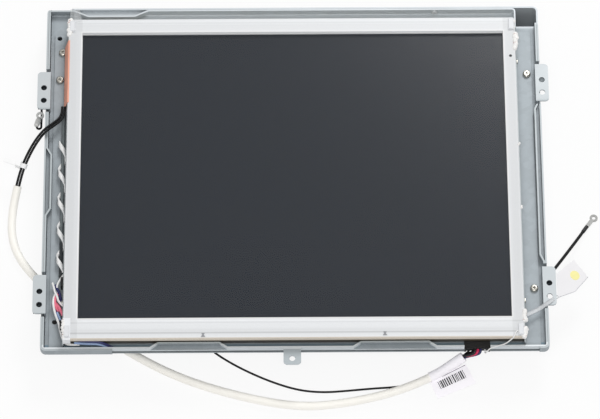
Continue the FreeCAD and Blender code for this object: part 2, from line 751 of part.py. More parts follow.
def side_bracket(side):
    """Angle strip beside the module: its foot is screwed to the tray, its leg to the module."""
    low = module_bottom - bracket_low_reach
    high = module_top - (left_bracket_stop if side < 0 else right_bracket_stop)
    near = module_left if side < 0 else module_right
    leg = near + side * foot_thickness
    outline = [(near, plate_top), (side * foot_edge, plate_top), (side * foot_edge, foot_top),
               (leg, foot_top), (leg, plate_top + bracket_leg), (near, plate_top + bracket_leg)]
    corners = [V(x, low, z) for x, z in outline]
    face = Part.Face(Part.makePolygon(corners + corners[:1]))
    strip = face.extrude(V(0, high - low, 0))
    for x, y in bracket_screw_places():
        strip = strip.cut(rod(x, y, plate_top - over, screw_radius, foot_thickness + 2 * over))
    for x, y in plate_holes:
        strip = strip.cut(rod(x, y, plate_top - over, plate_hole_radius, foot_thickness + 2 * over))
    for y in module_screw_ys:
        strip = strip.cut(rod(near - side * over, y, module_screw_z, module_screw_radius,
                              foot_thickness + 2 * over, V(side, 0, 0)))
    return strip


def pan_screw(x, y, z, length):
    """Pan-head screw, head up: a domed head with a cross recess, and a plain shank below."""
    head = rod(x, y, z, screw_head_radius, screw_head_height)
    top = [edge for edge in head.Edges if edge.BoundBox.ZMin > z + screw_head_height - 1e-4]
    head = head.makeFillet(screw_head_dome, top)
    for turn in (0, 1):
        wide = screw_recess_radius if turn else screw_recess_half
        tall = screw_recess_half if turn else screw_recess_radius
        head = head.cut(box(x - wide, x + wide, y - tall, y + tall,
                            z + screw_head_height - screw_recess_depth, z + screw_head_height + over))
    return head.fuse(rod(x, y, z - length, screw_radius, length))


def bracket_screws():
    return Part.makeCompound([pan_screw(x, y, foot_top, screw_length) for x, y in bracket_screw_places()])


def module_screws():
    """Small screws through the bracket legs into the module's sides."""
    shapes = []
    for side, near in ((-1, module_left), (1, module_right)):
        leg = near + side * foot_thickness
        for y in module_screw_ys:
            head = rod(leg, y, module_screw_z, module_screw_head, foot_thickness, V(side, 0, 0))
            shank = rod(leg, y, module_screw_z, module_screw_radius, module_screw_grip, V(-side, 0, 0))
            shapes.append(head.fuse(shank))
    return Part.makeCompound(shapes)


def post_places():
    """Posts stand under the bracket screws in the well, and under the tray's lower corners there."""
    places = [(x, y) for x, y in bracket_screw_places() if y > well_y]
    low = well_y + lower_post_rise
    return places + [(left_screw_x, low), (right_screw_x, low)]


def tray_posts():
    """Hexagonal posts from the back of the well up to the tray, under its screws."""
    shapes = []
    for x, y in post_places():
        prism = Part.Face(Part.makePolygon([V(x + post_radius * math.cos(k * math.pi / 3),
                                              y + post_radius * math.sin(k * math.pi / 3), sheet)
                                            for k in range(7)])).extrude(V(0, 0, tray_z - sheet))
        shapes.append(prism.cut(rod(x, y, tray_z - screw_length, screw_radius, screw_length + over)))
    return Part.makeCompound(shapes)


def wall_rivet():
    """Rivet through the tray's top wall and the pan's, with a domed head inside."""
    inner = tray_top - sheet
    outer = top_y + rivet_tail
    shank = rod(rivet_x, outer, rivet_z, rivet_radius / 2, outer - inner, V(0, -1, 0))
    head = rod(rivet_x, inner, rivet_z, rivet_radius, rivet_head, V(0, -1, 0))
    return fuse([shank, head, rod(rivet_x, outer, rivet_z, rivet_radius, rivet_tail, V(0, -1, 0))])


def module_back():
    gap = bezel_sheet + slip
    return centred(module_width - 2 * gap, module_height - 2 * gap, module_x, module_y,
                   plate_top, frame_z)


def reflector_film():
    return centred(pocket_width - 2 * slip, pocket_height - 2 * slip, module_x, module_y,
                   frame_z, guide_z)


def light_guide():
    """Wedge of clear acrylic between the lamps, thicker at the two lamp edges than mid way."""
    low = module_y - guide_height / 2
    high = module_y + guide_height / 2
    waist = guide_z + guide_hollow
    corners = [V(module_x - guide_width / 2, y, z) for y, z in
               ((low, guide_z), (module_y, waist), (high, guide_z), (high, guide_z + guide_thickness),
                (low, guide_z + guide_thickness))]
    return Part.Face(Part.makePolygon(corners + corners[:1])).extrude(V(guide_width, 0, 0))


def diffuser_sheets():
    top = guide_z + guide_thickness
    return centred(guide_width, guide_height, module_x, module_y, top, top + sheet_stack)


def lamp_ys():
    reach = guide_height / 2 + lamp_channel / 2
    return module_y - reach, module_y + reach


def lamp_tubes():
    """Cold cathode lamps along the top and bottom edges of the light guide."""
    length = pocket_width - 2 * slip
    start = module_x - length / 2
    return Part.makeCompound([rod(start, y, lamp_z, lamp_radius, length, V(1, 0, 0)) for y in lamp_ys()])


def lamp_holders():
    """Rubber blocks that hold the lamps' ends in the frame."""
    shapes = []
    start = module_x - pocket_width / 2
    for y in lamp_ys():
        for x0 in (start + slip, start + pocket_width - holder_length - slip):
            block = box(x0, x0 + holder_length, y - lamp_channel / 2 + slip, y + lamp_channel / 2 - slip,
                        guide_z, guide_z + guide_thickness)
            bore = rod(x0 - over, y, lamp_z, lamp_radius + lamp_fit, holder_length + 2 * over, V(1, 0, 0))
            shapes.append(block.cut(bore))
    return Part.makeCompound(shapes)


def mould_frame():
    """Plastic frame round the light guide, with a ledge that the display cell rests on."""
    gap = bezel_sheet + slip
    body = centred(module_width - 2 * gap, module_height - 2 * gap, module_x, module_y,
                   frame_z, module_front - bezel_sheet)
    pocket = centred(pocket_width, pocket_height, module_x, module_y, frame_z - over, module_front)
    seat = centred(cell_width + 2 * slip, cell_height + 2 * slip, module_x, module_y, cell_z, module_front)
    body = body.cut(pocket.fuse(seat))
    for side, near in ((-1, module_left), (1, module_right)):
        for y in module_screw_ys:
            body = body.cut(rod(near, y, module_screw_z, module_screw_radius, 2 * module_screw_grip,
                                V(-side, 0, 0)))
    return body


def display_cell():
    return centred(cell_width, cell_height, module_x, module_y, cell_z, cell_z + cell_thickness)


def front_bezel():
    """Pressed metal frame that clips over the module, with rolled outer edges and a sighting hole."""
    low = plate_top + slip
    body = centred(module_width, module_height, module_x, module_y, low, module_front)
    rolled = [edge for edge in body.Edges if edge.BoundBox.ZMin > module_front - 1e-4]
    body = body.makeFillet(bezel_roll, rolled)
    body = body.cut(centred(module_width - 2 * bezel_sheet, module_height - 2 * bezel_sheet,
                            module_x, module_y, low - over, module_front - bezel_sheet))
    body = body.cut(centred(view_width, view_height, 0, view_y, low, module_front + over))
    body = body.cut(rod(module_right - bezel_hole_inset, module_top - bezel_hole_drop, low,
                        bezel_hole_radius, module_depth + over))
    for side, near in ((-1, module_left), (1, module_right)):
        for y in module_screw_ys:
            body = body.cut(rod(near + side * over, y, module_screw_z, module_screw_radius,
                                2 * module_screw_grip, V(-side, 0, 0)))
    return body


def driver_board():
    """Narrow board on the module's back that drives the display cell."""
    back = plate_top - board
    parts = [centred(driver_width, driver_height, module_x, driver_y, back, plate_top)]
    for i in range(driver_chips):
        x = module_x + (i - (driver_chips - 1) / 2) * driver_width / driver_chips
        parts.append(centred(driver_chip_length, driver_chip_width, x, driver_y,
                             back - driver_chip_height, back))
    return fuse(parts)


def foam_gasket():
    """Foam frame between the bezel and the touch glass."""
    outer_w = module_width - gasket_margin
    outer_h = module_height - gasket_margin
    ring = centred(outer_w, outer_h, module_x, module_y, module_front, glass_z)
    return ring.cut(centred(outer_w - 2 * gasket_width, outer_h - 2 * gasket_width, module_x, module_y,
                            module_front - over, glass_z + over))


def touch_glass():
    pane = plate(rectangle(glass_width, glass_height, module_x, glass_y), glass_corner, glass_z, glass_top)
    edges = [edge for edge in pane.Edges if edge.BoundBox.ZMin > glass_top - 1e-4]
    return pane.makeChamfer(glass_chamfer, edges)


def corner_sensors():
    """Sound transducers bonded on the glass, two at the top corners and two at the bottom."""
    shapes = []
    for sx in (-1, 1):
        for sy in (-1, 1):
            x = module_x + sx * (glass_width / 2 - sensor_width / 2 - sensor_edge)
            y = glass_y + sy * (glass_height / 2 - sensor_length / 2 - sensor_end)
            block = centred(sensor_width, sensor_length, x, y, glass_top, glass_top + sensor_height)
            inner = [edge for edge in block.Edges if edge.BoundBox.ZMin > glass_top + sensor_height - 1e-4]
            shapes.append(block.makeChamfer(sensor_chamfer, inner))
    return Part.makeCompound(shapes)


def corner_tape():
    """White tape folded over the glass's lower left corner, onto its side and its lower edge."""
    low = glass_top - wrap_tape_drop
    gauge = wrap_tape_gauge
    right = glass_left + wrap_tape_width
    high = glass_low + wrap_tape_length
    shell = box(glass_left - gauge, right, glass_low - gauge, high, low, glass_top + gauge)
    shell = shell.cut(box(glass_left, right + over, glass_low, high + over, low - over, glass_top))
    return shell.cut(corner_sensors())


def copper_tape():
    """Strip of copper foil stuck along the left edge of the glass and turned down outside it."""
    outer = glass_left - tape_flare
    foot = foot_top + screw_head_height + tape_lift
    outline = [(glass_left + tape_lap, glass_top), (glass_left + tape_lap, glass_top + tape_gauge),
               (glass_left - tape_gauge / 2, glass_top + tape_gauge), (outer - tape_gauge, foot),
               (outer, foot), (glass_left, glass_top)]
    corners = [V(x, tape_high - tape_length, z) for x, z in outline]
    return Part.Face(Part.makePolygon(corners + corners[:1])).extrude(V(0, tape_length, 0))


def edge_bush():
    """Rubber channel on the three edges of the cable notch."""
    high = bottom_y + cable_notch_height
    half = cable_notch_width / 2
    body = box(cable_notch_x - half, cable_notch_x + half, bottom_y, high, bush_low, bush_high)
    return body.cut(box(cable_notch_x - half + bush_wall, cable_notch_x + half - bush_wall, bottom_y - over,
                        high - bush_wall, 0, chassis_depth))


def tail_plug():
    """Nylon housing that the cable's three wires are crimped into, seated in the bush."""
    high = bottom_y + cable_notch_height - bush_wall
    half = cable_notch_width / 2 - bush_wall
    return box(cable_notch_x - half, cable_notch_x + half, high - plug_depth, high, bush_low, bush_high)


def studs_under(x, y, width, height):
    return [(x + sx * (width / 2 - stud_inset), y + sy * (height / 2 - stud_inset))
            for sx in (-1, 1) for sy in (-1, 1)]


def stud_places():
    places = []
    for x, y, width, height in boards.values():
        places += studs_under(x, y, width, height)
    return places


def board_studs():
    """Threaded studs pressed into the back of the well."""
    return Part.makeCompound([rod(x, y, sheet, stud_radius, stud_height).cut(
        rod(x, y, sheet, board_screw_radius, stud_height + over)) for x, y in stud_places()])


def board_screws():
    """Pan-head screws that hold the boards on their studs."""
    shapes = []
    reach = board + stud_height / 2
    for x, y in stud_places():
        head = rod(x, y, board_top, stud_radius - slip, board_screw_head)
        shapes.append(fuse([head, rod(x, y, board_top - reach, board_screw_radius, reach)]))
    return Part.makeCompound(shapes)


def circuit_board(name):
    x, y, width, height = boards[name]
    body = centred(width, height, x, y, board_top - board, board_top)
    for px, py in studs_under(x, y, width, height):
        body = body.cut(rod(px, py, 0, board_screw_radius + slip, board_top + over))
    return body


def board_chips():
    """Square packages on the video board, one on the touch board."""
    x, y, width, _ = boards["video_board"]
    touch_x, touch_y, _, _ = boards["touch_board"]
    places = [(x + share * width, y + rise, size) for share, rise, size in video_chips]
    places.append((touch_x, touch_y, touch_chip))
    top = board_top + chip_height
    return Part.makeCompound([centred(size, size, px, py, board_top, top) for px, py, size in places])


def board_capacitors():
    """Upright electrolytic capacitors beside the power inlet."""
    x, y, width, height = boards["video_board"]
    first = x + width / 2 - capacitor_inset
    row = y + height / 2 - capacitor_inset
    return Part.makeCompound([rod(first - i * capacitor_pitch, row, board_top, capacitor_radius,
                                  capacitor_height) for i in range(capacitor_count)])


def lamp_transformers():
    """Flat step-up transformers on the lamp board."""
    x, y, width, _ = boards["lamp_board"]
    shapes = []
    top = board_top + core_height
    for side in (-1, 1):
        middle = x + side * width / 4
        core = centred(core_length, core_width, middle, y, board_top, top)
        shapes.append(core.cut(centred(core_slot_width, core_width + 2 * over, middle, y,
                                       top - core_slot_depth, top + over)))
    return Part.makeCompound(shapes)


def socket(name):
    """Board socket: a housing on the board and a mouth that reaches through the well's wall."""
    offset, width, height, deep = sockets[name]
    x = boards["video_board"][0] + offset
    face = well_y - socket_reach
    body = box(x - width / 2, x + width / 2, face, face + deep, board_top, board_top + height)
    if name == "power_socket":
        middle = board_top + height / 2
        body = body.cut(rod(x, face - over, middle, power_bore, power_bore_depth + over, V(0, 1, 0)))
        return body.fuse(rod(x, face + socket_rim, middle, power_pin, power_bore_depth, V(0, 1, 0)))
    mouth = box(x - width / 2 + socket_rim, x + width / 2 - socket_rim, face - over, face + socket_rim,
                board_top + socket_rim, board_top + height - socket_rim)
    return body.cut(mouth)


def ribbon_cable():
    """Flat cable from the video board up to the driver board, folded once."""
    x, y, _, height = boards["video_board"]
    foot_y = y + height / 2 - ribbon_inset
    head_y = driver_y - driver_height / 2 + ribbon_lap
    top = plate_top - board
    outline = [(foot_y, board_top), (foot_y + film, board_top), (foot_y + film, top - film),
               (head_y, top - film), (head_y, top), (foot_y, top)]
    corners = [V(x - ribbon_width / 2, py, pz) for py, pz in outline]
    return Part.Face(Part.makePolygon(corners + corners[:1])).extrude(V(ribbon_width, 0, 0))


def stretched(points):
    """Drawn route, moved with the steelwork's edges where its size differs from the drawn one."""
    moved = []
    for x, y, z in points:
        share_x = max(-1.0, min(1.0, x / held_x))
        share_y = max(-1.0, min(1.0, y / held_y))
        share_z = min(1.0, z / held_z)
        moved.append((x + share_x * (pan_x - drawn_for[0]),
                      y + share_y * (chassis_height - drawn_for[1]) / 2,
                      z + share_z * (chassis_depth - drawn_for[2])))
    return moved


def place(point):
    return stretched([point])[0]


def route(points):
    """Path of straight runs joined by tangent arcs, each arc as large as its two runs allow."""
    knots = [V(*p) for p in points]
    edges = []
    radii = []
    start = knots[0]
    for i in range(1, len(knots) - 1):
        before = unit(knots[i], knots[i - 1])
        after = unit(knots[i], knots[i + 1])
        half = before.getAngle(after) / 2
        reach = 0.45 * min(knots[i].distanceToPoint(knots[i - 1]), knots[i].distanceToPoint(knots[i + 1]))
        radius = reach * math.tan(half)
        middle = before.add(after)
        middle.multiply(1 / middle.Length)
        tip = knots[i].add(middle * (radius / math.sin(half) - radius))
        first = knots[i].add(before * reach)
        last = knots[i].add(after * reach)
        edges.append(Part.LineSegment(start, first).toShape())
        edges.append(Part.Arc(first, tip, last).toShape())
        radii.append(radius)
        start = last
    edges.append(Part.LineSegment(start, knots[-1]).toShape())
    return Part.Wire(edges), radii


def sweep(path, radius):
    """Round solid of one radius along a path."""
    first = path.Edges[0]
    start = first.valueAt(first.FirstParameter)
    ring = Part.Wire([Part.Circle(start, first.tangentAt(first.FirstParameter), radius).toShape()])
    return path.makePipeShell([ring], True, True)


def tube(name, points, radius):
    """Round cord along a drawn route; its bend radii, length and volume are printed."""
    path, radii = route(stretched(points))
    solid = sweep(path, radius)
    ratio = solid.Volume / (math.pi * radius ** 2 * path.Length)
    print(name, "length", round(path.Length, 1), "volume ratio", round(ratio, 4),
          "least radius", round(min(radii), 1), "in diameters", round(min(radii) / radius / 2, 1))
    return solid


def spiral_wrap():
    """Loose white wrap round the harness: one flat ribbon wound in a long helix."""
    helix = Part.makeHelix(wrap_pitch, wrap_pitch * wrap_turn_count, wrap_radius - wrap_gauge / 2)
    across = V(wrap_radius - wrap_gauge / 2, 0, 0)
    corners = [across.add(V(x, 0, z)) for x, z in rectangle(wrap_gauge, wrap_width)]
    ribbon = Part.Wire(helix).makePipeShell([Part.makePolygon(corners + corners[:1])], True, True)
    ribbon.rotate(V(0, 0, 0), V(1, 0, 0), 90)
    ribbon = ribbon.mirror(V(0, 0, 0), V(1, 0, 0))
    _, start, _ = place((wrap_x, wrap_start_y, wrap_z))
    ribbon.translate(V(wrap_x, start, wrap_z))
    return ribbon


def lead_outlets():
    """Rubber blocks on the left bracket where the lamp leads leave the module and go back."""
    leg = module_left - foot_thickness
    return Part.makeCompound([box(leg - outlet_depth, leg, y - outlet_length / 2, y + outlet_length / 2,
                                  foot_top, foot_top + outlet_height) for y in outlet_ys])


def lamp_leads():
    """Thin lamp leads that loop out beside the module, one above the other."""
    leg = module_left - foot_thickness - outlet_depth
    shapes = []
    for i, bow in enumerate(lead_bows):
        z = foot_top + lead_floor + i * lead_step
        high = outlet_ys[0] + i - 1
        low = outlet_ys[1] - i + 1
        mid = (high + low) / 2
        turn = leg - bow * 0.6
        points = [(leg, high, z), (turn, high, z), (leg - bow, high - lead_turn, z),
                  (leg - bow - lead_bulge, mid, z), (leg - bow, low + lead_turn, z), (turn, low, z),
                  (leg, low, z)]
        shapes.append(sweep(route(points)[0], lamp_lead_radius))
    return Part.makeCompound(shapes)


def flag_label():
    """Paper label: a turn round the end of the cable, and the two ends stuck together as a flag."""
    path, _ = route(stretched(cable_points))
    end = Part.Wire(path.Edges[-label_runs:])
    turn = sweep(end, cable_radius + label_turn)
    first = V(*place(flag_from))
    last = V(*place(flag_to))
    drop = V(*flag_drop)
    face = Part.Face(Part.makePolygon([first, last, last.add(drop), first.add(drop), first]))
    normal = face.normalAt(0, 0)
    flag = face.extrude(normal * label_gauge)
    return turn.fuse(flag).cut(sweep(path, cable_radius + label_fit)).removeSplitter()


def film_piece(points):
    """Thin film piece: an outline that lies level over the steelwork and falls away outside it."""
    corners = [film_point(x, y) for x, y in points]
    return Part.Face(Part.makePolygon(corners + corners[:1])).extrude(V(0, 0, tag_gauge))


def film_point(x, y):
    at_edge = V(*place((x, y, tag_height)))
    return at_edge.sub(V(0, 0, tag_fall * max(0.0, x - tag_fold)))


def inspection_tag():
    """White film tag on a narrow strap that is stuck to the right edge of the module."""
    return fuse([film_piece(corners) for corners in (tag_corners, neck_corners, strap_corners)])


def tag_dot():
    slope = V(tag_fall, 0, 1)
    slope.normalize()
    base = film_point(*tag_dot_place).add(V(0, 0, tag_gauge))
    return Part.makeCylinder(tag_dot_radius, tag_dot_gauge, base, slope)


def ring_terminal(ring_at, barrel_at, hole):
    """Flat terminal: a ring, and a tongue that stops short of the lead's sleeve."""
    ring = V(*ring_at)
    along = unit(ring, V(*barrel_at))
    neck = V(*barrel_at).sub(along * terminal_gap).sub(V(0, 0, terminal_gauge / 2))
    disc = Part.makeCylinder(terminal_radius, terminal_gauge, ring)
    across = V(-along.y, along.x, 0) * (terminal_radius / 2)
    corners = [ring.add(across), neck.add(across), neck.sub(across), ring.sub(across)]
    tongue = Part.Face(Part.makePolygon(corners + corners[:1])).extrude(V(0, 0, terminal_gauge))
    eye = Part.makeCylinder(hole, 3 * terminal_gauge, ring.sub(V(0, 0, terminal_gauge)))
    return disc.fuse(tongue).cut(eye).removeSplitter()


def sleeve(start, end, radius):
    """Heat-shrink sleeve over a terminal's barrel."""
    a = V(*start)
    b = V(*end)
    return Part.makeCylinder(radius, a.distanceToPoint(b), a, unit(a, b))


def cable_tie():
    """Nylon tie round the two leads, with its head and cut tail."""
    along = V(*tie_along)
    middle = V(*place(tie_at))
    band = Part.makeCylinder(tie_radius, tie_width, middle.sub(along * (tie_width / 2)), along)
    bore = Part.makeCylinder(tie_radius - tie_gauge, 3 * tie_width,
                             middle.sub(along * (1.5 * tie_width)), along)
    near = -tie_radius
    far = near - tie_head_length
    head = box(far, near + tie_gauge / 2, -tie_head / 2, tie_head / 2, -tie_head / 2, tie_head / 2)
    tail = box(far - tie_tail, far, -tie_width / 2, tie_width / 2, -tie_gauge / 2, tie_gauge / 2)
    strap = fuse([head, tail])
    strap.rotate(V(0, 0, 0), V(0, 0, 1), tie_turn)
    strap.translate(middle)
    return band.fuse(strap).cut(bore).removeSplitter()


def tails():
    """Three wires from the end of the cable's jacket to the plug."""
    end = V(*cable_points[-1])
    heading = unit(V(*cable_points[-2]), end)
    across = V(heading.y, -heading.x, 0)
    shapes = []
    for i in (-1, 0, 1):
        start = end.add(across * (i * tail_bundle))
        points = [tuple(start), tuple(start.add(heading * tail_spread))]
        points += [(x + i * tail_spread, y, z) for x, y, z in tail_points]
        shapes.append(tube("cable_tails", points, tail_radius))
    return Part.makeCompound(shapes)


def side_by_side(points, shift):
    """Route moved sideways in plan, for one of two leads that run together."""
    moved = []
    for i, (x, y, z) in enumerate(points):
        before = V(*points[max(i - 1, 0)])
        after = V(*points[min(i + 1, len(points) - 1)])
        step = after.sub(before)
        plan = math.hypot(step.x, step.y)
        moved.append((x + shift * step.y / plan, y - shift * step.x / plan, z))
    return moved


def twin_lead(name, side):
    return tube(name, side_by_side(twin_points, side * lead_shift), lead_radius)


def harness():
    x = wrap_x + harness_shift
    z = wrap_z - harness_sink
    high, low = harness_ends
    (_, high, _), (_, low, _) = place((x, high, z)), place((x, low, z))
    return rod(x, low, z, harness_radius, high - low, V(0, 1, 0))


pieces = {
    "panel_tray": panel_tray(),
    "rear_pan": rear_pan(),
    "nut_bars": nut_bars(),
    "tray_posts": tray_posts(),
    "wall_rivet": wall_rivet(),
    "left_bracket": side_bracket(-1),
    "right_bracket": side_bracket(1),
    "bracket_screws": bracket_screws(),
    "module_screws": module_screws(),
    "module_back": module_back(),
    "reflector_film": reflector_film(),
    "light_guide": light_guide(),
    "diffuser_sheets": diffuser_sheets(),
    "lamp_tubes": lamp_tubes(),
    "lamp_holders": lamp_holders(),
    "mould_frame": mould_frame(),
    "display_cell": display_cell(),
    "front_bezel": front_bezel(),
    "driver_board": driver_board(),
    "foam_gasket": foam_gasket(),
    "touch_glass": touch_glass(),
    "corner_sensors": corner_sensors(),
    "corner_tape": corner_tape(),
    "copper_tape": copper_tape(),
    "edge_bush": edge_bush(),
    "tail_plug": tail_plug(),
    "lead_grommets": lead_grommets(),
    "board_studs": board_studs(),
    "board_screws": board_screws(),
    "board_chips": board_chips(),
    "board_capacitors": board_capacitors(),
    "lamp_transformers": lamp_transformers(),
    "ribbon_cable": ribbon_cable(),
    "harness": harness(),
    "spiral_wrap": spiral_wrap(),
    "lead_outlets": lead_outlets(),
    "lamp_leads": lamp_leads(),
    "white_cable": tube("white_cable", cable_points, cable_radius),
    "cable_tails": tails(),
    "lead_a": twin_lead("lead_a", -1),
    "lead_b": twin_lead("lead_b", 1),
    "thin_lead": tube("thin_lead", thin_points, thin_radius),
    "sensor_lead": tube("sensor_lead", sensor_lead_points, sensor_lead_radius),
    "earth_lead": tube("earth_lead", earth_points, earth_radius),
    "earth_sleeve": sleeve(place(earth_points[-1]), place(earth_sleeve_end), sleeve_radius),
    "earth_terminal": ring_terminal(place(earth_ring), place(earth_sleeve_end), terminal_hole),
    "earth_lug": ring_terminal(lug_place, place(earth_points[0]), lug_hole),
    "ear_lead": tube("ear_lead", ear_lead_points, ear_lead_radius),
    "ear_sleeve": sleeve(place(ear_lead_points[-1]), place(ear_sleeve_end), sleeve_radius),
    "ear_terminal": ring_terminal(place(ear_ring), place(ear_sleeve_end), terminal_hole),
    "cable_tie": cable_tie(),
    "flag_label": flag_label(),
    "film_tag": inspection_tag(),
    "tag_dot": tag_dot(),
}
for name in boards:
    pieces[name] = circuit_board(name)
for name in sockets:
    pieces[name] = socket(name)

for name, shape in pieces.items():
    save(name, shape)
    print(name, "solids", len(shape.Solids), "valid", shape.isValid(), "volume", round(shape.Volume, 1))
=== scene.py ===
import math

import bmesh
import bpy
from mathutils import Matrix, Vector, noise


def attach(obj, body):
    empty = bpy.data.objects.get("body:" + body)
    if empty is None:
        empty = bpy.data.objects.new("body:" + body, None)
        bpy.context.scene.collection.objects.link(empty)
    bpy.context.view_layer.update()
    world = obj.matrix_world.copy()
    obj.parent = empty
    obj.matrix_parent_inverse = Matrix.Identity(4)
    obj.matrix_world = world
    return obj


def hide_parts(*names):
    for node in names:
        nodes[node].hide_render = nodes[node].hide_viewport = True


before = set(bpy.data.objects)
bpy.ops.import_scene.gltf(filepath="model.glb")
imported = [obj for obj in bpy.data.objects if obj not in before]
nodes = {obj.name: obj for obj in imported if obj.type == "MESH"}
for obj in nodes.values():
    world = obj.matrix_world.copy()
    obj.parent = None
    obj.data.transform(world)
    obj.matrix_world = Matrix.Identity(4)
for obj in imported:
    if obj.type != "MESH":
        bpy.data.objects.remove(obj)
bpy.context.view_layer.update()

# The view: the monitor lies on its back and is seen from above its bottom edge, through a long lens.
# The camera stands about three metres away, so the sides look nearly parallel.
focal_px = 4265.0
picture_px = 600
sensor_mm = 36.0
distance = 3.0577
elevation = math.radians(62.978)
azimuth = math.radians(-0.575)
roll = math.radians(0.197)
target = Vector((0.004314, -0.025105, 0.0347))
back = Vector((math.sin(azimuth) * math.cos(elevation), -math.cos(azimuth) * math.cos(elevation),
               math.sin(elevation)))
right = Vector((math.cos(azimuth), math.sin(azimuth), 0))
up = back.cross(right)
level_right = right * math.cos(roll) + up * math.sin(roll)
level_up = up * math.cos(roll) - right * math.sin(roll)
camera = bpy.data.objects.new("camera", bpy.data.cameras.new("camera"))
bpy.context.collection.objects.link(camera)
camera.data.sensor_fit = "HORIZONTAL"
camera.data.sensor_width = sensor_mm
camera.data.lens = focal_px / picture_px * sensor_mm
camera.data.clip_end = 20.0
turned = Matrix((level_right, level_up, back)).transposed().to_4x4()
camera.matrix_world = Matrix.Translation(target + back * distance) @ turned
scene = bpy.context.scene
scene.camera = camera
scene.view_settings.view_transform = "Standard"

# Soft studio light: a pale room all round, a wide lamp from the front that reaches into the gaps, and
# one beyond the top right corner that lies in the screen's reflection and gives it a slow gradient.
world = bpy.data.worlds.new("pale_room")
scene.world = world
world.use_nodes = True
sky = world.node_tree.nodes
sky_links = world.node_tree.links
room = sky["Background"]
path = sky.new("ShaderNodeLightPath")
seen = sky.new("ShaderNodeMath")
seen.operation = "MAXIMUM"
sky_links.new(path.outputs["Is Camera Ray"], seen.inputs[0])
sky_links.new(path.outputs["Is Transmission Ray"], seen.inputs[1])
room_light = 0.46
room_level = sky.new("ShaderNodeMapRange")
room_level.inputs["To Min"].default_value = room_light
room_level.inputs["To Max"].default_value = 1.0
sky_links.new(seen.outputs[0], room_level.inputs["Value"])
sky_links.new(room_level.outputs["Result"], room.inputs["Strength"])
room.inputs["Color"].default_value = (1, 1, 1, 1)


def add_lamp(name, place, aim, size, watts):
    lamp = bpy.data.objects.new(name, bpy.data.lights.new(name, "AREA"))
    bpy.context.collection.objects.link(lamp)
    lamp.data.shape = "DISK"
    lamp.data.size = size
    lamp.data.energy = watts
    lamp.location = place
    lamp.rotation_mode = "QUATERNION"
    lamp.rotation_quaternion = (Vector(place) - Vector(aim)).to_track_quat("Z", "Y")


add_lamp("key_lamp", (0.52, 1.5, 1.7), (0.06, 0.02, 0), 0.9, 20.0)
add_lamp("front_lamp", (0.0, -1.5, 2.8), (0, 0, 0), 1.5, 34.0)

# The pale floor that the monitor lies on: nearly white to the eye, with a faint soft shadow.
# It is a stage for the picture and no part of the monitor.
floor = bpy.data.objects.new("floor", bpy.data.meshes.new("floor"))
reach = 6.0
floor.data.from_pydata([(-reach, -reach, 0), (reach, -reach, 0), (reach, reach, 0), (-reach, reach, 0)],
                      [], [(0, 1, 2, 3)])
bpy.context.collection.objects.link(floor)
pale = bpy.data.materials.new("pale_floor")
pale.use_nodes = True
tree = pale.node_tree
tree.nodes.clear()
out = tree.nodes.new("ShaderNodeOutputMaterial")
matt = tree.nodes.new("ShaderNodeBsdfDiffuse")
matt.inputs["Color"].default_value = (0.9, 0.9, 0.9, 1)
glow = tree.nodes.new("ShaderNodeEmission")
glow.inputs["Color"].default_value = (1, 1, 1, 1)
rays = tree.nodes.new("ShaderNodeLightPath")
direct = tree.nodes.new("ShaderNodeMath")
direct.operation = "MAXIMUM"
tree.links.new(rays.outputs["Is Camera Ray"], direct.inputs[0])
tree.links.new(rays.outputs["Is Transmission Ray"], direct.inputs[1])
floor_glow = 0.88
share = tree.nodes.new("ShaderNodeMath")
share.operation = "MULTIPLY"
share.inputs[1].default_value = floor_glow
tree.links.new(direct.outputs[0], share.inputs[0])
mixed = tree.nodes.new("ShaderNodeMixShader")
tree.links.new(share.outputs[0], mixed.inputs["Fac"])
tree.links.new(matt.outputs[0], mixed.inputs[1])
tree.links.new(glow.outputs[0], mixed.inputs[2])
tree.links.new(mixed.outputs[0], out.inputs["Surface"])
floor.data.materials.append(pale)


# The touch cable: a round vinyl jacket, warm white and soft, that lies on the floor in one long bow.
# It comes from the twin leads at the left, passes under the tray and ends in three wires at the notch.
def linear(red, green, blue):
    parts = []
    for value in (red, green, blue):
        c = value / 255
        parts.append(c / 12.92 if c <= 0.04045 else ((c + 0.055) / 1.055) ** 2.4)
    return (*parts, 1.0)


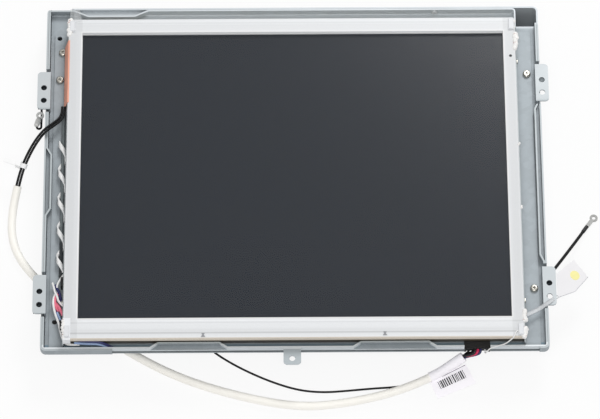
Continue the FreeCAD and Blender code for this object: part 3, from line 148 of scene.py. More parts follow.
def surface(name, colour, rough, metal=0.0, grain=400.0, spread=0.06, bump=0.02, stretch=(1, 1, 1)):
    """Finish with a mottled tone, uneven gloss and a fine relief, all on object coordinates."""
    made = bpy.data.materials.new(name)
    made.use_nodes = True
    shop = made.node_tree.nodes
    wire = made.node_tree.links
    skin = shop["Principled BSDF"]
    skin.inputs["Metallic"].default_value = metal
    place = shop.new("ShaderNodeTexCoord")
    turn = shop.new("ShaderNodeMapping")
    turn.inputs["Scale"].default_value = stretch
    wire.new(place.outputs["Object"], turn.inputs["Vector"])
    mottle = shop.new("ShaderNodeTexNoise")
    mottle.inputs["Scale"].default_value = grain
    mottle.inputs["Detail"].default_value = 4.0
    wire.new(turn.outputs["Vector"], mottle.inputs["Vector"])
    tone = shop.new("ShaderNodeValToRGB")
    base = linear(*colour)
    tone.color_ramp.elements[0].position = 0.3
    tone.color_ramp.elements[0].color = (*[c * (1 - spread) for c in base[:3]], 1)
    tone.color_ramp.elements[1].position = 0.7
    tone.color_ramp.elements[1].color = (*[min(1, c * (1 + spread)) for c in base[:3]], 1)
    wire.new(mottle.outputs["Fac"], tone.inputs["Fac"])
    wire.new(tone.outputs["Color"], skin.inputs["Base Color"])
    gloss = shop.new("ShaderNodeMapRange")
    gloss.inputs["To Min"].default_value = max(0.02, rough - 0.07)
    gloss.inputs["To Max"].default_value = min(1.0, rough + 0.07)
    wire.new(mottle.outputs["Fac"], gloss.inputs["Value"])
    wire.new(gloss.outputs["Result"], skin.inputs["Roughness"])
    fine = shop.new("ShaderNodeTexNoise")
    fine.inputs["Scale"].default_value = grain * 4
    wire.new(turn.outputs["Vector"], fine.inputs["Vector"])
    relief = shop.new("ShaderNodeBump")
    relief.inputs["Strength"].default_value = bump * 10
    relief.inputs["Distance"].default_value = 0.0002
    wire.new(fine.outputs["Fac"], relief.inputs["Height"])
    wire.new(relief.outputs["Normal"], skin.inputs["Normal"])
    return made


def cord_curve(name, route, radius, finish):
    """Round cord in millimetres on a smooth spline whose control points are the route's."""
    data = bpy.data.curves.new(name, "CURVE")
    data.dimensions = "3D"
    data.bevel_depth = radius / 1000
    data.bevel_resolution = 6
    data.resolution_u = 10
    data.use_fill_caps = True
    line = data.splines.new("NURBS")
    line.points.add(len(route) - 1)
    for point, (x, y, z) in zip(line.points, route):
        point.co = (x / 1000, y / 1000, z / 1000, 1)
    line.order_u = 3
    line.use_endpoint_u = True
    line.use_smooth = True
    data.materials.append(finish)
    cord = bpy.data.objects.new(name, data)
    bpy.context.collection.objects.link(cord)
    return cord


def metres(point):
    return tuple(value / 1000 for value in point)


def with_painted_glow(made, colour, strength):
    """Painted glow: let a finish give back a little light of its own, though it is no lamp."""
    skin = made.node_tree.nodes["Principled BSDF"]
    skin.inputs["Emission Color"].default_value = linear(*colour)
    skin.inputs["Emission Strength"].default_value = strength
    return made


# The jacket has a painted glow, a little light of its own.
jacket = with_painted_glow(surface("white_jacket", (253, 250, 243), 0.48, grain=160, spread=0.02, bump=0.01),
                    (255, 253, 248), 0.08)
cable_route = [(-200.0, 6.8, 12.0), (-202.3, -1.5, 6.8), (-204.0, -12.2, 3.4), (-204.3, -26.0, 3.0),
               (-201.5, -40.0, 3.0), (-193.5, -55.0, 3.0), (-178.0, -72.0, 3.0), (-151.0, -98.5, 3.0),
               (-120.3, -121.5, 3.0), (-84.0, -142.5, 3.0), (-42.0, -157.2, 3.0), (3.0, -166.6, 3.0),
               (38.0, -163.2, 3.2), (72.0, -155.4, 4.6), (99.5, -144.0, 6.9), (109.0, -138.6, 9.4),
               (118.5, -133.5, 14.0)]
cable_radius = 3.0
white_cable = cord_curve("touch_cable", cable_route, cable_radius, jacket)
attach(white_cable, "root")
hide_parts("white_cable")

# The twin leads: two black vinyl wires side by side, soldered to the end of the copper strip.
# They rise over the tray's wall and run together into the mouth of the white jacket.
black_vinyl = surface("black_vinyl", (14, 14, 15), 0.5, grain=300, spread=0.1, bump=0.01)
black_vinyl.node_tree.nodes["Principled BSDF"].inputs["Specular IOR Level"].default_value = 0.25
twin_route = [(-166.8, 61.4, 31.0), (-166.9, 56.5, 31.8), (-168.6, 50.8, 32.9), (-173.0, 46.2, 33.6),
              (-179.6, 41.4, 33.4), (-185.2, 36.0, 29.8), (-190.4, 29.2, 25.0), (-195.0, 21.4, 19.8),
              (-198.4, 12.6, 15.6), (-199.97, 6.9, 12.07)]
twin_radius = 0.9
twin_shift = 1.0


def side_by_side(route, shift):
    moved = []
    for i, (x, y, z) in enumerate(route):
        ahead = Vector(route[min(i + 1, len(route) - 1)]) - Vector(route[max(i - 1, 0)])
        plan = math.hypot(ahead.x, ahead.y)
        moved.append((x + shift * ahead.y / plan, y - shift * ahead.x / plan, z))
    return moved


for name, side in (("lead_a", -1), ("lead_b", 1)):
    route = side_by_side(twin_route, side * twin_shift)
    lead = cord_curve("twin_" + name, route, twin_radius, black_vinyl)
    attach(lead, "root")
    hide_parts(name)

# The thin lead: one black wire from a grommet in the well's lower wall, out under the tray.
# It lies on the floor in a shallow bow and goes up behind the label to the plug.
thin_route = [(-98.0, -53.0, 5.0), (-97.0, -59.5, 3.6), (-94.2, -69.0, 1.6), (-87.0, -85.0, 0.8),
              (-75.5, -103.5, 0.8), (-60.0, -120.3, 0.8), (-46.2, -130.2, 0.8), (-31.0, -138.8, 0.8),
              (-13.5, -146.8, 0.8), (4.0, -152.4, 0.8), (21.0, -153.9, 0.8), (38.0, -152.6, 0.8),
              (56.0, -150.9, 0.8), (69.0, -150.2, 0.8), (82.0, -148.6, 0.8), (99.5, -141.2, 1.6),
              (109.0, -135.8, 4.0), (116.0, -131.8, 7.6), (120.6, -130.2, 12.2), (123.2, -129.2, 15.6),
              (124.0, -129.0, 18.2), (124.0, -129.0, 20.3)]
thin_radius = 0.75
thin_lead = cord_curve("thin_wire", thin_route, thin_radius, black_vinyl)
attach(thin_lead, "root")
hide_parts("thin_lead")

# The earth lead: a stiff black wire from a lug under the lower right screw, with a crimped ring end.
# The ring and its dark sleeve lie on the floor to the right.
earth_route = [(175.4, -78.6, 19.5), (180.0, -73.0, 18.3), (185.0, -66.6, 16.2), (190.4, -58.2, 13.0),
               (198.2, -45.8, 8.6), (205.0, -34.9, 4.9), (209.0, -28.5, 3.2)]
earth_radius = 1.15
earth_lead = cord_curve("earth_wire", earth_route, earth_radius, black_vinyl)
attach(earth_lead, "root")
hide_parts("earth_lead")

# The ear lead: a short black wire that leaves the well's left wall, drops to the floor and turns
# back on itself to a small ring terminal just below the upper left ear.
ear_route = [(-181.3, 84.0, 5.0), (-183.2, 84.0, 5.0), (-184.9, 82.0, 3.6), (-184.9, 77.8, 1.6),
             (-184.5, 72.4, 0.9), (-184.6, 66.4, 0.9), (-184.7, 63.0, 0.9), (-184.6, 60.4, 0.9),
             (-186.4, 59.3, 0.9), (-188.2, 60.4, 1.2), (-187.7, 62.2, 1.6)]
ear_radius = 0.8
ear_lead = cord_curve("ear_wire", ear_route, ear_radius, black_vinyl)
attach(ear_lead, "root")
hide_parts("ear_lead")

# The sensor lead: a fine white wire from the transducer at the glass's lower right corner.
# It comes over the edge of the tray and joins the cable's wires at the plug.
fine_white = surface("fine_white_wire", (236, 236, 236), 0.45, grain=300, spread=0.02, bump=0.01)
sensor_route = [(157.75, -124.0, 38.7), (156.4, -124.0, 38.7), (154.6, -128.9, 38.9), (152.0, -130.4, 36.2),
                (148.4, -131.2, 31.8), (143.5, -131.8, 30.2), (138.6, -132.8, 29.2), (136.0, -134.4, 27.2),
                (135.0, -135.0, 24.6), (134.6, -133.4, 22.4), (134.6, -130.9, 22.4)]
sensor_radius = 0.45
sensor_lead = cord_curve("sensor_wire", sensor_route, sensor_radius, fine_white)
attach(sensor_lead, "root")
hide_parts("sensor_lead")

# The cable's wires, black, red and blue, and a black drain wire under them, from the cut end of the
# jacket up to the plug.
tail_route = [(122.8, -133.2, 16.8), (126.6, -133.9, 20.2), (129.6, -133.4, 22.4), (129.6, -130.9, 22.4)]
jacket_end = Vector(cable_route[-1])
heading = (jacket_end - Vector(cable_route[-2])).normalized()
across = Vector((heading.y, -heading.x, 0))
tail_radius = 1.0
tail_pitch = 1.9
mouth_pitch = 0.9
for i, word, colour in ((-1, "black", (30, 30, 34)), (0, "red", (216, 44, 92)), (1, "blue", (44, 46, 92))):
    start = jacket_end + across * (i * mouth_pitch)
    route = [tuple(start), tuple(start + heading * 2.0)]
    route += [(x + i * tail_pitch, y, z) for x, y, z in tail_route]
    vinyl = surface("tail_" + word, colour, 0.4, grain=300, bump=0.01)
    tail = cord_curve("tail_" + word, route, tail_radius, vinyl)
    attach(tail, "root")
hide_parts("cable_tails")
drain_route = [tuple(jacket_end), (121.5, -132.6, 16.2), (125.0, -131.8, 19.0), (128.0, -131.3, 21.0),
               (128.6, -130.9, 22.4)]
drain_radius = 1.1
drain = cord_curve("tail_drain", drain_route, drain_radius, black_vinyl)
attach(drain, "root")

# The paper label on the cable: wound twice round its end, with the two ends stuck together as a flag.
# The flag carries one row of plain bars and nothing else; it curls a little towards its free edge.
# The paper has a painted glow, a little light of its own.
paper = with_painted_glow(surface("label_paper", (248, 245, 250), 0.55, grain=300, spread=0.012, bump=0.01),
                   (250, 247, 252), 0.15)
before = Vector(cable_route[-4])
first = Vector(cable_route[-3])
second = Vector(cable_route[-2])
joined = (before + first) / 2
start_share = 0.42
entry = joined.lerp(first, start_share)
leave = first.lerp((first + second) / 2, start_share)
turn_route = [entry.lerp(leave, start_share), leave, (first + second) / 2, second, jacket_end + heading * 1.4]
turn_radius = 3.7
label_turn = cord_curve("label_turn", [tuple(point) for point in turn_route], turn_radius, paper)
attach(label_turn, "root")
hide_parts("flag_label")
flag_corners = [Vector(point) for point in ((95.6, -148.1, 5.1), (121.2, -137.3, 12.3),
                                            (128.3, -151.4, 10.1), (101.4, -160.0, 2.9))]


def on_flag(u, v, rise):
    """Place on the flag in metres, u along the cable and v towards the free edge."""
    near = flag_corners[0].lerp(flag_corners[1], u)
    free = flag_corners[3].lerp(flag_corners[2], u)
    square = (flag_corners[1] - flag_corners[0]).cross(flag_corners[3] - flag_corners[0]).normalized()
    square = -square if square.z < 0 else square
    curl = 1.1 * math.sin(v * math.pi) * (0.4 + 0.6 * u)
    return (near.lerp(free, v) + square * (rise + curl)) / 1000


def mesh_piece(name, shape, finish, smooth=False):
    """Finished piece from a bmesh, on the one body and in its slot."""
    mesh = bpy.data.meshes.new(name)
    shape.to_mesh(mesh)
    shape.free()
    for face in mesh.polygons:
        face.use_smooth = smooth and len(face.vertices) < 5
    mesh.materials.append(finish)
    piece = bpy.data.objects.new(name, mesh)
    bpy.context.collection.objects.link(piece)
    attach(piece, "root")
    return piece


flag = bmesh.new()
paper_gauge = 0.3
steps = 16
grid = []
for face_rise in (0.0, paper_gauge):
    for j in range(steps + 1):
        for i in range(steps + 1):
            grid.append(flag.verts.new(on_flag(i / steps, j / steps, face_rise)))
row = steps + 1
top_sheet = row * row
for j in range(steps):
    for i in range(steps):
        a, b, c, d = j * row + i, j * row + i + 1, (j + 1) * row + i + 1, (j + 1) * row + i
        flag.faces.new([grid[k] for k in (d, c, b, a)])
        flag.faces.new([grid[top_sheet + k] for k in (a, b, c, d)])
rim = list(range(row)) + [j * row + steps for j in range(1, row)]
rim += [steps * row + i for i in range(steps - 1, -1, -1)] + [j * row for j in range(steps - 1, 0, -1)]
for k, a in enumerate(rim):
    b = rim[(k + 1) % len(rim)]
    flag.faces.new([grid[m] for m in (a, b, top_sheet + b, top_sheet + a)])
bmesh.ops.recalc_face_normals(flag, faces=flag.faces)
bars = bmesh.new()
bar_at = 0.17
bars_end = 0.86
bar_foot = 0.19
bar_step = 0.07
bar_steps = 6
bar_rise = 0.36
drawn = 0
while bar_at < bars_end:
    width = 0.012 + 0.045 * abs(noise.noise(Vector((drawn * 1.37, 2.0, 0.5))))
    for k in range(bar_steps):
        low = bar_foot + bar_step * k
        high = low + bar_step
        corners = [(bar_at, low), (bar_at + width, low), (bar_at + width, high), (bar_at, high)]
        bars.faces.new([bars.verts.new(on_flag(u, v, bar_rise)) for u, v in corners])
    drawn += 1
    bar_at += width + 0.012 + 0.03 * abs(noise.noise(Vector((drawn * 0.91, 5.0, 1.5))))
bmesh.ops.remove_doubles(bars, verts=bars.verts, dist=1e-6)
ink = surface("bar_ink", (58, 58, 62), 0.6, grain=300, spread=0.1, bump=0.0)
# Painted shadow: a thin grey line along the flag's fold, where it meets the sleeve.
fold_shadow_grey = surface("fold_shadow_line", (150, 146, 152), 0.7, grain=300, spread=0.06, bump=0.0)
fold_route = [tuple(on_flag(u, 0.05, 0.45) * 1000) for u in (0.03, 0.27, 0.5, 0.73, 0.97)]
fold_radius = 0.22
fold_shadow_line = cord_curve("fold_shadow_line", fold_route, fold_radius, fold_shadow_grey)
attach(fold_shadow_line, "root")
mesh_piece("label_flag", flag, paper)
mesh_piece("label_bars", bars, ink)


# The rear pan and the panel tray: zinc-coated steel sheet, grey and satin, with a faint spangle.
# Each is cut, pierced and folded from one blank, and the tray nests in the pan; their folds and corners get
# painted shade, and the top edges of the walls a painted highlight.
def tinted(made, factor):
    """Multiply a finish's colour by a grey factor, after what already colours it."""
    shop = made.node_tree.nodes
    wire = made.node_tree.links
    skin = shop["Principled BSDF"]
    before = skin.inputs["Base Color"].links[0].from_socket
    shade = shop.new("ShaderNodeMix")
    shade.data_type = "RGBA"
    shade.blend_type = "MULTIPLY"
    shade.inputs["Factor"].default_value = 1.0
    wire.new(before, shade.inputs["A"])
    wire.new(factor, shade.inputs["B"])
    wire.new(shade.outputs["Result"], skin.inputs["Base Color"])


def ranged(made, value, low, high, to_low, to_high):
    """Value carried from one range to another, held at its ends."""
    step = made.node_tree.nodes.new("ShaderNodeMapRange")
    for word, number in (("From Min", low), ("From Max", high), ("To Min", to_low), ("To Max", to_high)):
        step.inputs[word].default_value = number
    made.node_tree.links.new(value, step.inputs["Value"])
    return step.outputs["Result"]


def painted_crease_shade(made, reach, darkest):
    """Painted shade: darken a finish in its folds and corners, where shade falls."""
    fold = made.node_tree.nodes.new("ShaderNodeAmbientOcclusion")
    fold.samples = 4
    fold.inputs["Distance"].default_value = reach
    tinted(made, ranged(made, fold.outputs["AO"], 0.2, 0.85, darkest, 1.0))


def axes(made, output):
    """Separate outputs of an object coordinate or normal."""
    split = made.node_tree.nodes.new("ShaderNodeSeparateXYZ")
    source = made.node_tree.nodes["Texture Coordinate"].outputs[output]
    made.node_tree.links.new(source, split.inputs["Vector"])
    return split.outputs


def dress(node, finish):
    part = nodes[node]
    part.data.materials.clear()
    part.data.materials.append(finish)


zinc = surface("zinc_sheet", (164, 172, 177), 0.5, metal=0.3, grain=55, spread=0.06, bump=0.005)
spangle = zinc.node_tree.nodes.new("ShaderNodeTexVoronoi")
spangle.inputs["Scale"].default_value = 230
zinc.node_tree.links.new(zinc.node_tree.nodes["Mapping"].outputs["Vector"], spangle.inputs["Vector"])
tinted(zinc, ranged(zinc, spangle.outputs["Color"], 0.0, 1.0, 0.93, 1.05))
# Painted shade in the sheet's folds and corners.
painted_crease_shade(zinc, 0.005, 0.62)


def topped(made, masks, colour):
    """Show another colour on a finish where every mask is one."""
    shop = made.node_tree.nodes
    wire = made.node_tree.links
    share = masks[0]
    for mask in masks[1:]:
        both = shop.new("ShaderNodeMath")
        both.operation = "MULTIPLY"
        wire.new(share, both.inputs[0])
        wire.new(mask, both.inputs[1])
        share = both.outputs[0]
    swap = shop.new("ShaderNodeMix")
    swap.data_type = "RGBA"
    swap.inputs["B"].default_value = linear(*colour)
    skin = shop["Principled BSDF"]
    wire.new(skin.inputs["Base Color"].links[0].from_socket, swap.inputs["A"])
    wire.new(share, swap.inputs["Factor"])
    wire.new(swap.outputs["Result"], skin.inputs["Base Color"])


def banded(made, value, low, high, bands):
    """One inside the bands of a value, nought outside them."""
    ramp = made.node_tree.nodes.new("ShaderNodeValToRGB")
    ramp.color_ramp.interpolation = "CONSTANT"
    ramp.color_ramp.elements[0].color = (0, 0, 0, 1)
    ramp.color_ramp.elements[1].color = (0, 0, 0, 1)
    for start, end in bands:
        ramp.color_ramp.elements.new((start - low) / (high - low)).color = (1, 1, 1, 1)
        ramp.color_ramp.elements.new((end - low) / (high - low)).color = (0, 0, 0, 1)
    made.node_tree.links.new(ranged(made, value, low, high, 0.0, 1.0), ramp.inputs["Fac"])
    return ramp.outputs["Color"]


# Painted highlight: the wall tops that face up at the rim's height are paler.
edge_low = 0.0287
edge_high = 0.0289
flat_low = 0.9
flat_high = 0.95
edge_highlight = ranged(zinc, axes(zinc, "Object")["Z"], edge_low, edge_high, 0.0, 1.0)
face_up = ranged(zinc, axes(zinc, "Normal")["Z"], flat_low, flat_high, 0.0, 1.0)
topped(zinc, [edge_highlight, face_up], (186, 193, 196))


def painted_light_upper_end(made):
    """Painted light: paler zinc on the inside of the upper end, between the glass and the rim."""
    facing_in = ranged(made, axes(made, "Normal")["Y"], 0.3, 0.5, 1.0, 0.0)
    not_under = ranged(made, axes(made, "Normal")["Z"], -0.5, -0.3, 0.0, 1.0)
    beyond = ranged(made, axes(made, "Object")["Y"], 0.1287, 0.1302, 0.0, 1.0)
    past_corner = ranged(made, axes(made, "Object")["X"], -0.1615, -0.1600, 0.0, 1.0)
    topped(made, [facing_in, not_under, beyond, past_corner], (203, 209, 213))


tray_zinc = zinc.copy()
tray_zinc.name = "tray_zinc"
painted_light_upper_end(zinc)
for node in ("rear_pan", "left_bracket", "right_bracket"):
    dress(node, zinc)
painted_light_upper_end(tray_zinc)
# Painted shade: a dark line low along the plate's left edge, for the shade in the gap beside the wall.
gap_shade = ranged(tray_zinc, axes(tray_zinc, "Object")["X"], -0.1774, -0.1771, 1.0, 0.0)
gap_shade_low = ranged(tray_zinc, axes(tray_zinc, "Object")["Z"], 0.0240, 0.0250, 1.0, 0.0)
topped(tray_zinc, [gap_shade, gap_shade_low], (74, 80, 84))
plan = axes(tray_zinc, "Object")
ear_root = 0.1766
ear_bands = ((-1, ((0.06115, 0.09165), (-0.10385, -0.07335))),
             (1, ((0.06565, 0.09615), (-0.09935, -0.06885))))
upper = ranged(tray_zinc, plan["Z"], edge_low, edge_high, 0.0, 1.0)
level_face = ranged(tray_zinc, axes(tray_zinc, "Normal")["Z"], flat_low, flat_high, 0.0, 1.0)
# Painted light: the ears' top faces are paler than the plate, as lit, though they are the same sheet.
for side, bands in ear_bands:
    outside = ranged(tray_zinc, plan["X"], side * (ear_root - 0.0001), side * ear_root, 0.0, 1.0)
    beside = banded(tray_zinc, plan["Y"], -0.2, 0.2, bands)
    topped(tray_zinc, [upper, level_face, outside, beside], (196, 202, 205))
low_wall = ranged(tray_zinc, plan["Y"], -0.1290, -0.1280, 1.0, 0.0)
before_tab = ranged(tray_zinc, plan["Y"], -0.1330, -0.1325, 0.0, 1.0)
on_tab = ranged(tray_zinc, plan["Y"], -0.1330, -0.1325, 1.0, 0.0)
to_front = ranged(tray_zinc, axes(tray_zinc, "Normal")["Y"], -0.7, -0.5, 1.0, 0.0)
above_foot = ranged(tray_zinc, plan["Z"], 0.0245, 0.0252, 0.0, 1.0)
at_foot = ranged(tray_zinc, plan["Z"], 0.0238, 0.0245, 1.0, 0.0)
low_strip = ranged(tray_zinc, plan["Y"], -0.1262, -0.1258, 1.0, 0.0)
# Painted light and shade at the lower wall: a lit upper front face, a shaded foot, a painted highlight on the
# top edge and a milder one on the tab, and painted shade on the plate strip under the glass.
topped(tray_zinc, [low_wall, to_front, above_foot], (214, 221, 225))
topped(tray_zinc, [low_wall, to_front, at_foot], (112, 118, 122))
topped(tray_zinc, [low_wall, before_tab, upper, level_face], (226, 231, 234))
topped(tray_zinc, [on_tab, upper, level_face], (180, 188, 192))
topped(tray_zinc, [low_strip, level_face, at_foot], (124, 143, 155))
dress("panel_tray", tray_zinc)

# The tapped bars under the ears, in black-oxide steel; only their dark bores are seen from above, and their
# dark also stands as painted shade for the shade under the ears. Each is a short flat strip behind its ear;
# the one at the upper right is painted pale instead, as lit.
oxide_and_hole_shade = surface("black_oxide_and_shade", (62, 68, 72), 0.5, metal=0.3, grain=400, spread=0.1, bump=0.02)
on_right = ranged(oxide_and_hole_shade, axes(oxide_and_hole_shade, "Object")["X"], 0.0, 0.001, 0.0, 1.0)
on_top = ranged(oxide_and_hole_shade, axes(oxide_and_hole_shade, "Object")["Y"], 0.0, 0.001, 0.0, 1.0)
topped(oxide_and_hole_shade, [on_right, on_top], (196, 202, 205))
dress("nut_bars", oxide_and_hole_shade)

# A black rubber plug that closes the plate's lower left hole from behind, just below its surface; it is
# painted shade, a dark disc for the dark seen through the hole.
# It is a plain moulded disc, pressed in.
plug = bmesh.new()
plug_radius = 0.00178
plug_depth = 0.0006
plug_place = Matrix.Translation((-0.1706, -0.1085, 0.0227))
bmesh.ops.create_cone(plug, cap_ends=True, segments=32, radius1=plug_radius, radius2=plug_radius,
                      depth=plug_depth, matrix=plug_place)
hole_shade_rubber = surface("hole_shade_rubber", (18, 18, 19), 0.7, grain=500, spread=0.1, bump=0.03)
mesh_piece("hole_shade_plug", plug, hole_shade_rubber)

# Screws and the wall rivet are cold-headed and plated; posts and studs are turned from brass.
# They hold the brackets, the module, the boards and the tray.
plated = surface("plated_steel", (206, 203, 194), 0.26, metal=0.9, grain=900, spread=0.08, bump=0.01)
# Painted shade in the recesses of the screw heads.
painted_crease_shade(plated, 0.0015, 0.2)
for node in ("bracket_screws", "module_screws", "board_screws"):
    dress(node, plated)
rivet_steel = surface("rivet_steel", (216, 218, 220), 0.4, metal=0.3, grain=600, spread=0.05, bump=0.01)
dress("wall_rivet", rivet_steel)
brass = surface("turned_brass", (196, 168, 104), 0.3, metal=1.0, grain=600, spread=0.08, bump=0.02)
for node in ("tray_posts", "board_studs"):
    dress(node, brass)

# The display module: a pressed, tin-plated bezel over a tan plastic frame, clear guide, lamps and films.
# Its sides, under the overhang of the glass, have the frame's tan showing through their slots, and
# darken towards the bottom in painted shade.
bezel_steel = surface("bezel_steel", (238, 240, 242), 0.38, metal=0.15, grain=120, spread=0.015, bump=0.004)
side_tan_and_shade = bezel_steel.node_tree.nodes.new("ShaderNodeValToRGB")
side_tan_and_shade.color_ramp.elements[0].color = linear(70, 66, 60)
side_tan_and_shade.color_ramp.elements[1].color = (1, 1, 1, 1)
for height, colour in ((0.3, (120, 108, 92)), (0.42, (206, 192, 164)), (0.9, (232, 224, 204))):
    side_tan_and_shade.color_ramp.elements.new(height).color = linear(*colour)
side_height = ranged(bezel_steel, axes(bezel_steel, "Object")["Z"], 0.0234, 0.0346, 0.0, 1.0)
bezel_steel.node_tree.links.new(side_height, side_tan_and_shade.inputs["Fac"])
tinted(bezel_steel, side_tan_and_shade.outputs["Color"])
dress("front_bezel", bezel_steel)
dress("module_back", surface("back_steel", (196, 200, 203), 0.35, metal=0.8, grain=90, bump=0.006))
dress("mould_frame", surface("tan_frame", (176, 160, 136), 0.6, grain=260, bump=0.02))
film_white = surface("white_film", (240, 240, 240), 0.5, grain=140, spread=0.015, bump=0.004)
for node in ("reflector_film", "diffuser_sheets", "ribbon_cable"):
    dress(node, film_white)
dress("light_guide", surface("clear_guide", (226, 232, 236), 0.12, grain=60, spread=0.01, bump=0.002))
dress("lamp_tubes", surface("lamp_glass", (244, 246, 250), 0.15, grain=300, spread=0.01, bump=0.003))
dress("lamp_holders", surface("grey_rubber", (150, 150, 150), 0.7, grain=500, bump=0.03))

# The display cell: two glass plates under a dark, half-matt polarizer film.
# It is held under the bezel and is not lit, so it shows only a dim reflection of the room.
panel_dark = surface("polarizer", (20, 28, 38), 0.19, grain=900, spread=0.02, bump=0.0)
panel_dark.node_tree.nodes["Principled BSDF"].inputs["Specular IOR Level"].default_value = 0.28
dress("display_cell", panel_dark)

# The touch glass: clear float glass whose border is frosted by the printed rows of sound reflectors.
# The frost starts at the edge of the view, with a painted highlight along its inner edge; the rows show as
# fine grey lines along the border, the darkest near the top a painted shadow of the module's edge. A tan seal
# runs along the lower edge, and one hole of the bezel shows dark through the frost at the right, in painted
# shade.
clear = surface("touch_glass", (246, 248, 250), 0.3, grain=900, spread=0.012, bump=0.0)
shop = clear.node_tree.nodes
wire = clear.node_tree.links
pane = shop["Principled BSDF"]
view_half = (0.1537, 0.1156)
view_middle = 0.0035
plan = axes(clear, "Object")
sides = []
for axis, half, middle in (("X", view_half[0], 0.0), ("Y", view_half[1], view_middle)):
    from_middle = shop.new("ShaderNodeMath")
    from_middle.operation = "SUBTRACT"
    from_middle.inputs[1].default_value = middle
    wire.new(plan[axis], from_middle.inputs[0])
    away = shop.new("ShaderNodeMath")
    away.operation = "ABSOLUTE"
    wire.new(from_middle.outputs[0], away.inputs[0])
    past = shop.new("ShaderNodeMath")
    past.operation = "SUBTRACT"
    past.inputs[1].default_value = half
    wire.new(away.outputs[0], past.inputs[0])
    sides.append(past.outputs[0])
border = shop.new("ShaderNodeMath")
border.operation = "MAXIMUM"
wire.new(sides[0], border.inputs[0])
wire.new(sides[1], border.inputs[1])
frost_fade = 0.0002
frost = ranged(clear, border.outputs[0], 0.0, frost_fade, 0.012, 0.82)
tan_edge = ranged(clear, plan["Y"], -0.12785, -0.1276, 1.0, 0.0)
from_hole = shop.new("ShaderNodeVectorMath")
from_hole.operation = "DISTANCE"
hole_place = (0.15874, 0.0983, 0.038)
from_hole.inputs[1].default_value = hole_place
wire.new(shop["Texture Coordinate"].outputs["Object"], from_hole.inputs[0])
hole = ranged(clear, from_hole.outputs["Value"], 0.0010, 0.0012, 1.0, 0.0)
cover = frost
for mask in (tan_edge, hole):
    most = shop.new("ShaderNodeMath")
    most.operation = "MAXIMUM"
    wire.new(cover, most.inputs[0])
    wire.new(mask, most.inputs[1])
    cover = most.outputs[0]
wire.new(cover, pane.inputs["Alpha"])
wire.new(ranged(clear, border.outputs[0], 0.0, frost_fade, 0.02, 0.35), pane.inputs["Specular IOR Level"])
rows = shop.new("ShaderNodeValToRGB")
ramp = rows.color_ramp
ramp.elements[0].color = (1, 1, 1, 1)
ramp.elements[1].color = (1, 1, 1, 1)
pane_low = -0.129
pane_high = 0.131
row_half = 0.00045
# The row at 0.1266, the darkest, is a painted shadow of the module's edge.
for y, grey in ((-0.1239, 0.72), (-0.1215, 0.68), (-0.1184, 0.78), (-0.1160, 0.74), (0.1245, 0.80),
                (0.1266, 0.56)):
    for step, value in ((-row_half, 1.0), (0.0, grey), (row_half, 1.0)):
        mark = ramp.elements.new((y + step - pane_low) / (pane_high - pane_low))
        mark.color = (value, value, value, 1)
wire.new(ranged(clear, plan["Y"], pane_low, pane_high, 0.0, 1.0), rows.inputs["Fac"])
tinted(clear, rows.outputs["Color"])
tinted(clear, ranged(clear, sides[0], 0.0, frost_fade, 1.0, 0.91))
# Painted highlight: a white band along the inner edge of the frost.
topped(clear, [ranged(clear, border.outputs[0], 0.0007, 0.0011, 1.0, 0.0)], (250, 250, 250))
topped(clear, [tan_edge], (212, 203, 190))
# Painted shade: the dark of the bezel hole, drawn on the glass.
topped(clear, [hole], (22, 22, 24))
dress("touch_glass", clear)
dress("foam_gasket", surface("pale_foam", (226, 227, 228), 0.8, grain=700, spread=0.02, bump=0.05))

# Transducers at the glass's corners, buried in lumps of white resin that was laid on by hand.
# The resin runs over the edge in places, with pinkish flux stains in it.
resin = surface("white_resin", (244, 243, 241), 0.42, grain=260, spread=0.05, bump=0.05)
stain = resin.node_tree.nodes.new("ShaderNodeTexNoise")
stain.inputs["Scale"].default_value = 420
resin_place = resin.node_tree.nodes["Texture Coordinate"].outputs["Object"]
resin.node_tree.links.new(resin_place, stain.inputs["Vector"])
blush = resin.node_tree.nodes.new("ShaderNodeValToRGB")
blush.color_ramp.elements[0].position = 0.64
blush.color_ramp.elements[0].color = (1, 1, 1, 1)
blush.color_ramp.elements[1].position = 0.74
blush.color_ramp.elements[1].color = linear(206, 160, 150)
resin.node_tree.links.new(stain.outputs["Fac"], blush.inputs["Fac"])
tinted(resin, blush.outputs["Color"])
lump_rows = [
    (-163.2, 118.0, -163.0, 129.5, 7, 1.9), (162.2, 105.0, 162.8, 116.4, 8, 2.0),
    (161.4, 122.0, 161.8, 127.0, 3, 1.5), (162.4, -108.5, 162.9, -115.0, 5, 1.8),
    (162.6, -122.5, 162.0, -127.5, 5, 2.2), (-163.6, -114.0, -163.4, -126.5, 6, 1.5),
    (163.0, 25.0, 163.0, 26.0, 2, 0.9), (163.2, -25.0, 163.2, -26.0, 2, 0.9),
]
lumps = bmesh.new()
lump_height = 37.6
for row, (x0, y0, x1, y1, count, size) in enumerate(lump_rows):
    for i in range(count):
        along = i / max(1, count - 1)
        wobble = noise.noise(Vector((row * 7.1, i * 1.7, 0.3)))
        grow = size * (1 + 0.3 * noise.noise(Vector((row * 3.3, i * 2.9, 4.0))))
        middle = Vector((x0 + (x1 - x0) * along + wobble * 1.2, y0 + (y1 - y0) * along,
                         lump_height + 0.4 * wobble))
        made = bmesh.ops.create_icosphere(lumps, subdivisions=3, radius=1.0)["verts"]
        for vert in made:
            rough = 1 + 0.22 * noise.noise(vert.co * 1.6 + Vector((row * 5.0, i * 3.0, 0.0)))
            bulge = Vector((vert.co.x * grow, vert.co.y * grow * 1.15, vert.co.z * min(grow, 1.6))) * rough
            vert.co = (middle + bulge) / 1000
mesh_piece("resin_lumps", lumps, resin, smooth=True)
dress("corner_sensors", surface("sensor_ceramic", (226, 228, 231), 0.4, grain=400, spread=0.02, bump=0.02))

